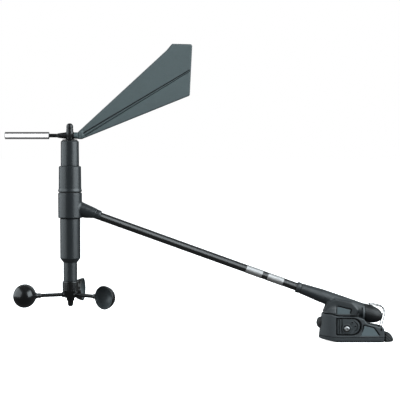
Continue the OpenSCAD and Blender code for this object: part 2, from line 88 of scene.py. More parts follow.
# ------------------------------------------------------------------ places read from the frame
def vertices(node):
    """The vertices of a CAD node, mm."""
    flat = np.zeros(len(nodes[node].data.vertices) * 3)
    nodes[node].data.vertices.foreach_get("co", flat)
    return flat.reshape(-1, 3) * 1000.0


def spar_span(node):
    """Where a CAD node starts and ends along the spar."""
    place = (vertices(node) - SPAR_ORIGIN) @ SPAR_DIR
    return place.min(), place.max()


def half_height(node):
    low, high = BOX[node]
    return (high[2] - low[2]) / 2


BOX = {node: [np.array(corner) * 1000.0 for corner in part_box(node)] for node in nodes}
JOINT = {joint["name"]: np.array(joint["pos_m"]) * 1000.0 for joint in frame["joints"]}
MOUNT = {mount["name"]: mount["pos_m"] for mount in record["mounts"]}["base_face"]
BASE_X, BASE_Z = MOUNT[0] * 1000.0, MOUNT[2] * 1000.0
HEAD_X = JOINT["vane_spin"][0]
VANE_Z = JOINT["vane_spin"][2]
ROTOR_Z = JOINT["rotor_spin"][2]
PIVOT_X, PIVOT_Z = JOINT["arm_tilt"][0], JOINT["arm_tilt"][2]
BAIL_X, BAIL_Z = JOINT["bail_swing"][0], JOINT["bail_swing"][2]
HEAD_BASE = (HEAD_X, 0, BASE_Z)     # heights along the head count from here
VANE_CENTRE = (HEAD_X, 0, VANE_Z)
SLOT_OF = {part["node"]: part["material_slot"] for part in record["subparts"]}
BODIES = record["behaviour"]["bodies"]
BODY_OF = {node: body for body in BODIES for node in BODIES[body]}

# the spar's axis runs towards +X and starts where it meets the head's axis
spar_points = vertices("spar_tube")
spar_middle = spar_points.mean(0)
SPAR_DIR = np.linalg.svd(spar_points - spar_middle, full_matrices=False)[2][0]
SPAR_DIR = SPAR_DIR * np.sign(SPAR_DIR[0])
SPAR_ORIGIN = spar_middle + SPAR_DIR * (HEAD_X - spar_middle[0]) / SPAR_DIR[0]
SPAR_START, SPAR_END = spar_span("spar_tube")
spar_place = (spar_points - SPAR_ORIGIN) @ SPAR_DIR
spar_offset = spar_points - SPAR_ORIGIN - np.outer(spar_place, SPAR_DIR)
SPAR_R = np.sqrt((spar_offset ** 2).sum(1)).max()


# ------------------------------------------------------------------ outlines
def unit(vector):
    vector = np.asarray(vector, float)
    return vector / np.linalg.norm(vector)


def rounded(corners, steps=6, closed=True):
    """Outline with filleted corners, given as (x, y) or (x, y, fillet radius)."""
    out, total = [], len(corners)
    for i, corner in enumerate(corners):
        fillet = corner[2] if len(corner) > 2 else 0
        if fillet <= 0 or (not closed and i in (0, total - 1)):
            out.append(corner[:2])
            continue
        neighbours = corners[i - 1], corners[(i + 1) % total], corner
        before, after, here = (np.array(point[:2], float) for point in neighbours)
        back, ahead = unit(before - here), unit(after - here)
        angle = math.acos(max(-1, min(1, float(back @ ahead))))
        if angle > math.pi - 1e-3:
            out.append(corner[:2])
            continue
        # a fillet takes at most 0.49 of each side, so neighbouring ones never meet
        reach = min(fillet / math.tan(angle / 2), 0.49 * np.linalg.norm(before - here),
                    0.49 * np.linalg.norm(after - here))
        fillet = reach * math.tan(angle / 2)
        centre = here + unit(back + ahead) * fillet / math.sin(angle / 2)
        first, last = here + back * reach - centre, here + ahead * reach - centre
        start = math.atan2(first[1], first[0])
        turn = (math.atan2(last[1], last[0]) - start + 3 * math.pi) % (2 * math.pi) - math.pi
        for step in range(steps + 1):
            angle = start + turn * step / steps
            out.append((centre[0] + fillet * math.cos(angle), centre[1] + fillet * math.sin(angle)))
    return out


def arc(centre, radii, degrees):
    """Points of an ellipse at the given angles."""
    return [(centre[0] + radii[0] * math.cos(math.radians(angle)),
             centre[1] + radii[1] * math.sin(math.radians(angle))) for angle in degrees]


# ------------------------------------------------------------------ meshes and pieces
def make_mesh(name, points_mm, faces, smooth=True):
    mesh = bpy.data.meshes.new(name)
    points = np.asarray(points_mm, np.float32) * 0.001
    sizes = np.array([len(face) for face in faces], np.int32)
    corners = np.concatenate(faces).astype(np.int32)
    mesh.vertices.add(len(points))
    mesh.vertices.foreach_set("co", points.ravel())
    mesh.loops.add(len(corners))
    mesh.loops.foreach_set("vertex_index", corners)
    mesh.polygons.add(len(sizes))
    mesh.polygons.foreach_set("loop_start", (np.cumsum(sizes) - sizes).astype(np.int32))
    mesh.polygons.foreach_set("use_smooth", np.full(len(sizes), smooth))
    mesh.update(calc_edges=True)
    mesh.validate()
    return mesh


def add_piece(node, points, faces, mat=None):
    """The object visual_<node>, which replaces a CAD node and moves with the node's body."""
    mesh = make_mesh("visual_" + node, points, faces)
    piece = bpy.data.objects.new("visual_" + node, mesh)
    scene.collection.objects.link(piece)
    mesh.materials.append(mat or MAT[SLOT_OF[node]])
    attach(piece, BODY_OF[node])
    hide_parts(node)
    return piece


def turned(node, outline, origin=HEAD_BASE, axis=(0, 0, 1), segments=144, mat=None):
    """Turned piece from a closed outline of (radius, height along the axis)."""
    origin = np.array(origin, float)
    z = unit(axis)
    x = unit(np.cross([0, 1, 0] if abs(z[1]) < 0.9 else [1, 0, 0], z))
    y = np.cross(z, x)
    rings, points, faces = [], [], []       # a ring is (first vertex, vertex count)
    for radial, height in outline:
        count = 1 if radial < 1e-6 else segments
        rings.append((len(points), count))
        if count == 1:
            points.append(origin + z * height)
            continue
        for i in range(segments):
            angle = 2 * math.pi * i / segments
            spoke = math.cos(angle) * x + math.sin(angle) * y
            points.append(origin + z * height + radial * spoke)
    for (low, low_count), (high, high_count) in zip(rings, rings[1:] + rings[:1]):
        if low_count == 1 and high_count == 1:
            continue
        for i in range(segments):
            j = (i + 1) % segments
            if low_count == 1:
                faces.append((low, high + j, high + i))
            elif high_count == 1:
                faces.append((low + i, low + j, high))
            else:
                faces.append((low + i, low + j, high + j, high + i))
    piece = add_piece(node, points, faces, mat)
    piece.data.set_sharp_from_angle(angle=math.radians(38))
    piece.modifiers.new("weighted", "WEIGHTED_NORMAL").keep_sharp = True
    return piece


def wire(node, path, thickness, segments=20):
    """Round wire of the given radius along a list of points, with domed ends."""
    path = np.asarray(path, float)
    last = len(path) - 1
    heading = [unit(path[min(i + 1, last)] - path[max(i - 1, 0)]) for i in range(last + 1)]
    side = unit(np.cross([0.3, 0.9, 0.2], heading[0]))
    rings = []          # centre, two cross directions, radius
    for point, ahead in zip(path, heading):
        side = unit(side - (side @ ahead) * ahead)
        rings.append((point, side, np.cross(ahead, side), thickness))

    def dome(end, sign, degrees):
        centre, first, second, _ = rings[end]
        out = []
        for angle in map(math.radians, degrees):
            bulge = heading[end] * thickness * math.sin(angle) * 0.6
            out.append((centre + sign * bulge, first, second, thickness * math.cos(angle)))
        return out

    rings = dome(0, -1, (80, 60, 40, 20)) + rings + dome(-1, 1, (20, 40, 60, 80))
    points, faces = [], []
    for centre, first, second, radial in rings:
        for i in range(segments):
            angle = 2 * math.pi * i / segments
            points.append(centre + radial * (math.cos(angle) * first + math.sin(angle) * second))
    for start in range(0, (len(rings) - 1) * segments, segments):
        for i in range(segments):
            j = (i + 1) % segments
            faces.append((start + i, start + j, start + segments + j, start + segments + i))
    faces.append(tuple(range(segments))[::-1])
    faces.append(tuple((len(rings) - 1) * segments + i for i in range(segments)))
    return add_piece(node, points, faces)


def paint(piece, index, *mats):
    """index(x, y, z of face centres, mm) gives 0 for the piece's own material, 1.. for mats."""
    mesh = piece.data
    for mat in mats:
        mesh.materials.append(mat)
    centres = np.zeros(len(mesh.polygons) * 3)
    mesh.polygons.foreach_get("center", centres)
    choice = index(*(centres.reshape(-1, 3) * 1000.0).T)
    mesh.polygons.foreach_set("material_index", np.asarray(choice, np.int32))


# ------------------------------------------------------------------ distance fields
# A solid is a distance that is negative inside. In shape functions X, Y, Z are frame
# coordinates and x, y, z are taken from the piece's own origin. Outlines of round solids
# cross to negative radii, so that the axis is no edge.
def both(*solids):
    return reduce(np.maximum, solids)


def either(*solids):
    return reduce(np.minimum, solids)


def join(first, second, fillet):
    blend = np.maximum(fillet - np.abs(first - second), 0) / fillet
    return np.minimum(first, second) - blend * blend * fillet * 0.25


def meet(first, second, fillet):
    return -join(-first, -second, fillet)


def cut(solid, tool, fillet):
    return meet(solid, -tool, fillet)


def radius(x, y):
    return np.sqrt(x ** 2 + y ** 2)


def slab(value, middle, half):
    return np.abs(value - middle) - half


def area(px, py, outline):
    """Signed distance to a closed outline in the plane."""
    outline = np.asarray(outline, float)
    nearest = (px - outline[0, 0]) ** 2 + (py - outline[0, 1]) ** 2
    sign = np.ones(nearest.shape)
    previous = outline[-1]
    for point in outline:
        edge_x, edge_y = previous - point
        length2 = edge_x * edge_x + edge_y * edge_y
        if length2 < 1e-12:
            continue
        off_x, off_y = px - point[0], py - point[1]
        place = np.clip((off_x * edge_x + off_y * edge_y) / length2, 0, 1)
        gap = (off_x - edge_x * place) ** 2 + (off_y - edge_y * place) ** 2
        nearest = np.minimum(nearest, gap)
        above, below = py >= point[1], py < previous[1]
        left = edge_x * off_y > edge_y * off_x
        sign = np.where((above & below & left) | ~(above | below | left), -sign, sign)
        previous = point
    return sign * np.sqrt(nearest)


def round_edges(walls, rounding):
    """Overlap of square-set walls with rounded edges."""
    walls = [wall + rounding for wall in walls]
    outside = np.sqrt(sum(np.maximum(wall, 0) ** 2 for wall in walls))
    return outside + np.minimum(both(*walls), 0) - rounding


def extrude(flat, across, half, rounding):
    return round_edges([flat, np.abs(across) - half], rounding)


def block(point, centre, half, rounding):
    return round_edges([slab(*axis) for axis in zip(point, centre, half)], rounding)


def capsule(point, start, end, thickness):
    axis = np.asarray(end, float) - np.asarray(start, float)
    off = [value - first for value, first in zip(point, start)]
    place = sum(value * step for value, step in zip(off, axis)) / (axis @ axis)
    place = np.clip(place, 0, 1)
    return np.sqrt(sum((value - step * place) ** 2 for value, step in zip(off, axis))) - thickness


def along(point, origin, axis):
    """(distance along an axis, radius from it)."""
    off = [value - first for value, first in zip(point, origin)]
    place = sum(value * step for value, step in zip(off, axis))
    square = sum((value - place * step) ** 2 for value, step in zip(off, axis))
    return place, np.sqrt(np.maximum(square, 1e-12))


def surface_nets(shape, low, high, step):
    """(points, quads) of the surface where shape(x, y, z) is zero."""
    low = np.array(low, float)
    count = np.ceil((np.array(high, float) - low) / step).astype(int) + 1
    xs, ys, zs = (low[i] + step * np.arange(count[i]) for i in range(3))
    values = np.empty(tuple(count), np.float32)
    for i in range(0, count[0], 24):        # in slices, to save memory
        values[i:i + 24] = shape(xs[i:i + 24][:, None, None], ys[None, :, None],
                                 zs[None, None, :])
    solid = values < 0
    cells = count - 1
    ids, crossings, quads, flips = [], [], [], []
    unit_steps = np.eye(3, dtype=int)
    for axis in range(3):
        # grid edges along this axis that cross the surface, each with four cells round it
        one, two = (axis + 1) % 3, (axis + 2) % 3
        edges = np.argwhere(np.diff(solid, axis=axis))
        edges = edges[(edges[:, one] > 0) & (edges[:, one] < cells[one])
                      & (edges[:, two] > 0) & (edges[:, two] < cells[two])]
        start = values[tuple(edges.T)]
        end = values[tuple((edges + unit_steps[axis]).T)]
        crossing = edges.astype(float)
        crossing[:, axis] += start / (start - end)
        around = []
        for i, j in ((-1, -1), (0, -1), (0, 0), (-1, 0)):
            cell = edges + i * unit_steps[one] + j * unit_steps[two]
            around.append(np.ravel_multi_index(tuple(cell.T), tuple(cells)))
            crossings.append(crossing)
        ids += around
        quads.append(np.stack(around, 1))
        flips.append(~solid[tuple(edges.T)])
    # one point per cell, in the middle of its crossings
    crossings = np.concatenate(crossings)
    used, owner = np.unique(np.concatenate(ids), return_inverse=True)
    share = np.bincount(owner)
    points = np.stack([np.bincount(owner, crossings[:, i]) / share for i in range(3)], 1)
    points = points * step + low
    quads = np.searchsorted(used, np.concatenate(quads))
    flips = np.concatenate(flips)
    quads[flips] = quads[flips][:, ::-1]
    # pull the points onto the surface along its slope
    nudge = 0.25 * step
    for _ in range(3):
        error = shape(*points.T)
        slope = np.stack([shape(*(points + move).T) - shape(*(points - move).T)
                          for move in np.eye(3) * nudge], 1) / (2 * nudge)
        shift = error / np.maximum((slope * slope).sum(1), 0.25)
        points = points - slope * np.clip(shift, -0.5 * step, 0.5 * step)[:, None]
    return points, quads


def moulded(node, shape, step, mat=None):
    """Piece from a distance field, sampled within the box of its CAD node."""
    low, high = BOX[node]
    points, quads = surface_nets(shape, low - 2.2 * step, high + 2.2 * step, step)
    return add_piece(node, points, quads, mat)


# ------------------------------------------------------------------ shader building
def linear(srgb):
    return np.array([part / 12.92 if part <= 0.04045 else ((part + 0.055) / 1.055) ** 2.4
                     for part in srgb])


def rgba(colour):
    return (*colour, 1.0)


class Graph:
    """A material with a Principled shader, and helpers that add nodes to it."""

    def __init__(self, name):
        self.mat = bpy.data.materials.new(name)
        self.mat.use_nodes = True
        self.tree = self.mat.node_tree
        self.tree.nodes.clear()
        output = self.add("ShaderNodeOutputMaterial")
        self.shader = self.add("ShaderNodeBsdfPrincipled")
        self.link(self.shader.outputs[0], output.inputs[0])
        self.coord = self.add("ShaderNodeTexCoord").outputs["Object"]

    def add(self, kind, **settings):
        node = self.tree.nodes.new(kind)
        for key, value in settings.items():
            setattr(node, key, value)
        return node

    def link(self, source, target):
        self.tree.links.new(source, target)

    def put(self, node, values):
        """Sets or links inputs from {socket: value or output}."""
        for key, value in values.items():
            if hasattr(value, "is_output"):
                self.link(value, node.inputs[key])
            else:
                node.inputs[key].default_value = value

    def finish(self, values):
        self.put(self.shader, values)
        return self.mat

    def noise(self, scale, detail=3.0, rough=0.5, stretch=None, turn=(0, 0, 0)):
        node = self.add("ShaderNodeTexNoise")
        self.put(node, {"Scale": scale, "Detail": detail, "Roughness": rough})
        source = self.coord
        if stretch:
            mapping = self.add("ShaderNodeMapping")
            self.put(mapping, {"Rotation": turn, "Scale": stretch, 0: source})
            source = mapping.outputs[0]
        self.link(source, node.inputs["Vector"])
        return node.outputs[0]

    def calc(self, operation, first, second):
        node = self.add("ShaderNodeMath", operation=operation)
        self.put(node, {0: first, 1: second})
        return node.outputs[0]

    def remap(self, value, source, target=(0.0, 1.0)):
        """Maps the range source onto the range target."""
        node = self.add("ShaderNodeMapRange")
        self.put(node, dict(enumerate((value, *source, *target))))
        return node.outputs[0]

    def mix(self, factor, first, second):
        node = self.add("ShaderNodeMix", data_type="RGBA")
        self.put(node, {0: factor, 6: first, 7: second})
        return node.outputs[2]

    def bump(self, height, strength, distance, under=None):
        node = self.add("ShaderNodeBump")
        self.put(node, {"Strength": strength, "Distance": distance, "Height": height})
        if under is not None:
            self.link(under, node.inputs["Normal"])
        return node.outputs[0]

    def edges(self, reach):
        """1 on edges, 0 on flats."""
        bevel = self.add("ShaderNodeBevel")
        bevel.samples = 3
        bevel.inputs["Radius"].default_value = reach
        geometry = self.add("ShaderNodeNewGeometry")
        dot = self.add("ShaderNodeVectorMath", operation="DOT_PRODUCT")
        self.put(dot, {0: bevel.outputs[0], 1: geometry.outputs["Normal"]})
        return self.remap(dot.outputs["Value"], (0.995, 0.86))

    def upward(self, start):
        """Rises from 0 to 1 as the upward part of the normal goes from start to 1."""
        geometry = self.add("ShaderNodeNewGeometry")
        split = self.add("ShaderNodeSeparateXYZ")
        self.link(geometry.outputs["Normal"], split.inputs[0])
        return self.remap(split.outputs[2], (start, 1.0))


def plastic(name, srgb, rough, spec=0.5, mottle=0.10, depth=0.000012, edge_wear_and_highlight=0.25, streaks=None,
            rough_var=0.05, dust=0.03, crease_shade=0.95):
    """Moulded plastic. mottle: cloudy colour change; depth: height of the grain, m;
    wear: pale edges, partly rubbed and partly a painted edge highlight; streaks: noise
    stretch and turn for roughness lines; dust: grey on upward faces; cavity: strength of
    the painted shade that darkens grooves and recesses."""
    net = Graph(name)
    base = linear(srgb)
    cloud = net.noise(scale=38.0, detail=5.0, rough=0.6)
    fine = net.noise(scale=700.0, rough=0.55)
    colour = net.mix(net.remap(cloud, (0.3, 0.7)),
                     rgba(base * (1 - mottle)), rgba(base * (1 + mottle)))
    speck = net.calc("MULTIPLY", net.remap(fine, (0.35, 0.65)), 0.35)
    colour = net.mix(speck, colour, rgba(base * 1.18))
    # pale edges from a bevel mask: partly rubbed wear, partly a painted edge highlight
    if edge_wear_and_highlight > 0:
        rubbed_and_lit_edges = net.calc("MULTIPLY", net.edges(reach=0.0007),
                        net.remap(fine, (0.35, 0.7), (0.2, 1.0)))
        pale = np.minimum(base * 2.2 + 0.02, 1)
        colour = net.mix(net.calc("MULTIPLY", rubbed_and_lit_edges, edge_wear_and_highlight), colour, rgba(pale))
    # painted shade: an ambient-occlusion mask darkens grooves, recesses and gaps towards near black
    occlusion = net.add("ShaderNodeAmbientOcclusion")
    occlusion.samples = 6
    occlusion.inputs["Distance"].default_value = 0.0028
    painted_crease_shade = net.remap(occlusion.outputs["AO"], (0.35, 0.95), (crease_shade, 0.0))
    colour = net.mix(painted_crease_shade, colour, rgba(base * 0.06))
    if dust > 0:
        layer = net.calc("MULTIPLY", net.upward(start=0.35),
                         net.remap(cloud, (0.35, 0.75), (0.2, 1.0)))
        colour = net.mix(net.calc("MULTIPLY", layer, dust), colour, rgba((0.42, 0.42, 0.40)))
    roughness = net.remap(net.noise(scale=260.0, detail=4.0, rough=0.6), (0.3, 0.7),
                          (rough - rough_var, rough + rough_var))
    if streaks:
        lines = net.noise(scale=900.0, rough=0.6, **streaks)
        roughness = net.calc("ADD", roughness, net.remap(lines, (0.3, 0.7), (-0.05, 0.07)))
    # the painted shade in grooves also dims their reflections
    shine = net.calc("MULTIPLY", net.remap(painted_crease_shade, (0.0, crease_shade), (1.0, 0.15)), spec)
    grain = net.bump(net.noise(scale=1400.0, detail=2.0), strength=0.5, distance=depth)
    waves = net.bump(net.noise(scale=120.0, detail=2.0), strength=0.25, distance=depth * 2.5,
                     under=grain)
    return net.finish({"Base Color": colour, "Roughness": roughness, "Normal": waves,
                       "Specular IOR Level": shine, "Coat Roughness": 0.12})


def rubber(name, srgb, rough=0.62):
    """Rubber with fine mottling and grey dust on upward faces."""
    net = Graph(name)
    base = linear(srgb)
    fine = net.noise(scale=520.0, detail=4.0, rough=0.6)
    colour = net.mix(net.remap(fine, (0.3, 0.7)), rgba(base * 0.8), rgba(base * 1.3))
    dust = net.calc("MULTIPLY", net.upward(start=0.2),
                    net.remap(net.noise(scale=70.0, detail=4.0), (0.35, 0.7), (0, 0.16)))
    return net.finish({
        "Base Color": net.mix(dust, colour, rgba((0.3, 0.3, 0.3))),
        "Roughness": net.remap(fine, (0.3, 0.7), (rough - 0.08, rough + 0.12)),
        "Specular IOR Level": 0.35,
        "Sheen Weight": 0.15,
        "Normal": net.bump(net.noise(scale=1800.0, rough=0.6), strength=0.6, distance=0.00003),
    })


def metal(name, srgb, rough, stretch=None, turn=(0, 0, 0), line=0.05, tarnish=0.12,
          scale=1200.0):
    """Metal. stretch and turn draw the grain out into lines; line: how much the grain
    changes the roughness; tarnish: brownish clouds; scale: fineness of the grain."""
    net = Graph(name)
    base = linear(srgb)
    grain = net.noise(scale=scale, detail=4.0, rough=0.6, stretch=stretch, turn=turn)
    cloud = net.noise(scale=55.0, detail=4.0, rough=0.6)
    brown = base * np.array([0.78, 0.74, 0.68])
    colour = net.mix(net.remap(cloud, (0.35, 0.75), (0, tarnish)), rgba(base), rgba(brown))
    roughness = net.remap(grain, (0.3, 0.7), (rough - line, rough + line))
    roughness = net.calc("ADD", roughness, net.remap(cloud, (0.3, 0.7), (-0.02, 0.03)))
    relief = net.bump(grain, strength=0.6, distance=0.000004)
    relief = net.bump(net.noise(scale=90.0, detail=2.0), strength=0.15, distance=0.00002,
                      under=relief)
    return net.finish({"Base Color": colour, "Metallic": 1.0, "Roughness": roughness,
                       "Normal": relief})


def board(name):
    """Green circuit board with a net of raised traces."""
    net = Graph(name)
    pattern = net.add("ShaderNodeTexVoronoi", feature="DISTANCE_TO_EDGE")
    net.put(pattern, {"Scale": 900.0, "Vector": net.coord})
    trace = net.remap(pattern.outputs[0], (0.05, 0.09), (1.0, 0.0))
    colour = net.mix(trace, (0.012, 0.10, 0.035, 1), (0.03, 0.2, 0.08, 1))
    patches = net.remap(net.noise(scale=80.0), (0.3, 0.7), (0, 0.3))
    return net.finish({
        "Base Color": net.mix(patches, colour, (0.01, 0.06, 0.03, 1)),
        "Roughness": net.remap(trace, (0, 1), (0.36, 0.26)),
        "Coat Weight": 0.4,
        "Normal": net.bump(trace, strength=0.4, distance=0.00003),
    })


# ------------------------------------------------------------------ materials
SPAR_TURN = (0, math.asin(SPAR_DIR[2]), 0)      # turns noise lines along the spar
ROUND_X = (1, 0.06, 0.06)                       # stretch of turning marks about X
CLEAN = dict(edge_wear_and_highlight=0.0, dust=0.0)
BLADE_LOOK = dict(mottle=0.06, **CLEAN)

# keyed by the frame's material slot, or by the painted area or piece. Colours are sRGB.
MAT = {
    "shoe_plastic": plastic("shoe_plastic_moulded", (0.185, 0.198, 0.207), rough=0.46),
    "plate_plastic": plastic("plate_plastic_moulded", (0.165, 0.182, 0.192), rough=0.42),
    "socket_plastic": plastic("socket_plastic_moulded", (0.115, 0.128, 0.137), rough=0.43),
    "housing_plastic": plastic("housing_plastic_moulded", (0.135, 0.150, 0.160), rough=0.36,
                               spec=0.55, mottle=0.06, depth=0.000006, rough_var=0.02),
    "inlay": plastic("inlay_plastic_satin", (0.29, 0.33, 0.343), rough=0.5, edge_wear_and_highlight=0.1),
    "cap_plastic": plastic("cap_plastic_satin", (0.05, 0.054, 0.058), rough=0.44, spec=0.32,
                           edge_wear_and_highlight=0.08),
    "hub_plastic": plastic("hub_plastic_black", (0.06, 0.063, 0.066), rough=0.34, edge_wear_and_highlight=0.08),
    "blade_plastic": plastic("blade_plastic_bluegrey", (0.245, 0.285, 0.29), rough=0.55,
                             **BLADE_LOOK),
    # painted shade: darker copies of the blade plastic for its thin rim and the two grooves along
    # the spine
    "blade_rim": plastic("blade_plastic_rim", (0.175, 0.21, 0.22), rough=0.55, **BLADE_LOOK),
    "blade_groove": plastic("blade_plastic_groove", (0.10, 0.11, 0.12), rough=0.6,
                            **BLADE_LOOK),
    "blade_line": plastic("blade_plastic_line", (0.16, 0.19, 0.20), rough=0.6, **BLADE_LOOK),
    # painted shade: a duller, greyer copy of the counterweight steel for its end chamfers
    "weight_end": metal("weight_turned_edge", (0.42, 0.42, 0.425), rough=0.4,
                        stretch=ROUND_X, line=0.03),
    "arm": plastic("rotor_arm_black", (0.03, 0.031, 0.033), rough=0.4, spec=0.22, **CLEAN),
    # painted shade: near-black plastic for the bumper's back face and neck groove, standing in for
    # the shaded gap against the shoe
    "seam": plastic("rubber_seam", (0.02, 0.02, 0.021), rough=0.8, spec=0.1, crease_shade=0.5,
                    **CLEAN),
    # painted highlight: a lighter copy of the shoe plastic for the bead and the flange rim, where
    # edges catch the light
    "edge": plastic("shoe_plastic_edge", (0.27, 0.285, 0.293), rough=0.42, edge_wear_and_highlight=0.0),
    "rotor_plastic": plastic("rotor_plastic_gloss", (0.055, 0.058, 0.06), rough=0.24,
                             edge_wear_and_highlight=0.1, rough_var=0.02),
    # painted light: a light grey copy of the black rotor plastic for the cups' inner walls, where
    # light falls into the bowl
    "rotor_inner": plastic("rotor_plastic_inner", (0.31, 0.335, 0.345), rough=0.42, edge_wear_and_highlight=0.1,
                           crease_shade=0.5),
    "spar_black": plastic("spar_tube_black", (0.045, 0.047, 0.05), rough=0.27, spec=0.8,
                          edge_wear_and_highlight=0.0, streaks=dict(stretch=(0.04, 1.0, 1.0), turn=SPAR_TURN),
                          rough_var=0.03, dust=0.02),
    "insert_black": plastic("insert_black", (0.12, 0.12, 0.125), rough=0.4),
    "chip_black": plastic("chip_package", (0.09, 0.09, 0.09), rough=0.5, edge_wear_and_highlight=0.1),
    "cable_black": rubber("cable_jacket", (0.10, 0.10, 0.10), rough=0.5),
    "black_rubber": rubber("rubber_black", (0.06, 0.06, 0.063)),
    "bumper": plastic("rubber_bumper", (0.075, 0.08, 0.086), rough=0.55, spec=0.25, edge_wear_and_highlight=0.0,
                      dust=0.02),
    "loom_red": rubber("loom_sheath", (0.42, 0.12, 0.10), rough=0.45),
    "steel": metal("steel_fastener", (0.58, 0.58, 0.585), rough=0.32, stretch=(1, 1, 1)),
    "bearing_steel": metal("steel_bearing", (0.84, 0.84, 0.86), rough=0.14,
                           stretch=(1, 1, 0.05)),
    "band_silver": metal("band_silver", (0.655, 0.65, 0.65), rough=0.55,
                         stretch=(0.05, 1, 1), turn=SPAR_TURN, line=0.08),
    "carrier_alu": metal("carrier_aluminium", (0.78, 0.79, 0.80), rough=0.30,
                         stretch=(0.05, 0.05, 1), line=0.07),
    "weight_steel": metal("weight_polished", (0.90, 0.905, 0.91), rough=0.13,
                          stretch=ROUND_X, line=0.03, tarnish=0.05),
    "wire_steel": metal("wire_spring_steel", (0.15, 0.152, 0.156), rough=0.5, line=0.04),
    "brass": metal("brass_plain", (0.86, 0.68, 0.38), rough=0.26, tarnish=0.3),
    "magnet_grey": metal("magnet_sintered", (0.42, 0.42, 0.43), rough=0.48, line=0.1,
                         scale=2200.0),
    "board_green": board("circuit_board"),
}

for node, cad_piece in nodes.items():
    if cad_piece.material_slots:
        for slot in cad_piece.material_slots:
            slot.material = MAT[SLOT_OF[node]]
    else:
        cad_piece.data.materials.append(MAT[SLOT_OF[node]])

# ------------------------------------------------------------------ mast shoe
# outlines are (x, z, fillet) from the base face unless noted
HALF = BOX["mast_shoe"][1][1]       # half the shoe's width
SHOE_SIDE = rounded([
    (-34.9, 3.9, 1.2), (-15.6, 0, 6), (35.2, 0, 1.0), (35.2, 14.8, 1.2), (32.6, 15.7, 2),
    (23, 17.7, 20), (16.6, 19.3, 3.2), (13.3, 24.4, 1.0), (12.2, 25.2, 0.8), (6.5, 27.0, 2),
    (-16, 28.0, 3), (-22.5, 30.4, 3), (-31.2, 30.6, 1.5)])
# (x, y): a half ellipse at the -X end, square at the +X end
SHOE_PLAN = arc((-16.5, 0), (-18.4, HALF), np.arange(-90, 91, 5.0)) + rounded([
    (-16.0, HALF, 0), (34.0, HALF, 0.9), (35.2, HALF - 1.2, 0.9), (35.2, -HALF + 1.2, 0.9),
    (34.0, -HALF, 0.9), (-16.0, -HALF, 0)], 4, closed=False)
# recess for the side plate, and the plate itself: both D-shaped
PLATE_Z = 17.05                     # height of the D's centre
RECESS = [(-17.2, 7.9)] + arc((1.5, PLATE_Z), (9.4, 9.3), range(-90, 91, 6)) + [(-17.2, 26.2)]
PLATE = ([(-15.5, 8.9), (0.2, 8.9)] + arc((0.2, PLATE_Z), (8.1, 8.15), range(-84, 85, 7))
         + [(0.2, 25.2), (-15.5, 25.2)])
PANEL = rounded([(8.9, 6.6, 0.5), (30.2, 6.4, 0.8), (27.6, 10.4, 2), (23.4, 16.2, 2.2),
                 (12.3, 18.7, 1.0), (12.3, 15.6, 3)])
DECK = rounded([(8, 18.3), (16.6, 18.2, 3), (23, 16.3, 8), (31, 14.6), (31, 34), (8, 34)])
BEAD = [(12.4, 24.9), (15.2, 20.9), (18.2, 18.9), (32.0, 15.9)]     # (x, z)
PLUG_FACE = BOX["nose_plug"][0][0] + 3.0
PLUG_X = PLUG_FACE - BASE_X
PLUG_Z = (BOX["nose_plug"][0][2] + BOX["nose_plug"][1][2]) / 2 - BASE_Z
PLUG_R = half_height("nose_plug")
STEM_Z = 5.2                        # height of the bumper's stem
PIN_HOLE_R = 1.54                   # of the tilt pivot


def from_pivot(X, Z):
    return radius(X - PIVOT_X, Z - PIVOT_Z)


def bead_runs(x, side, z):
    """The straight runs of the raised bead along the horn and the deck edge."""
    return [capsule((x, side, z), (start[0], HALF - 0.45, start[1] - 0.35),
                    (end[0], HALF - 0.45, end[1] - 0.35), 0.55)
            for start, end in zip(BEAD, BEAD[1:])]


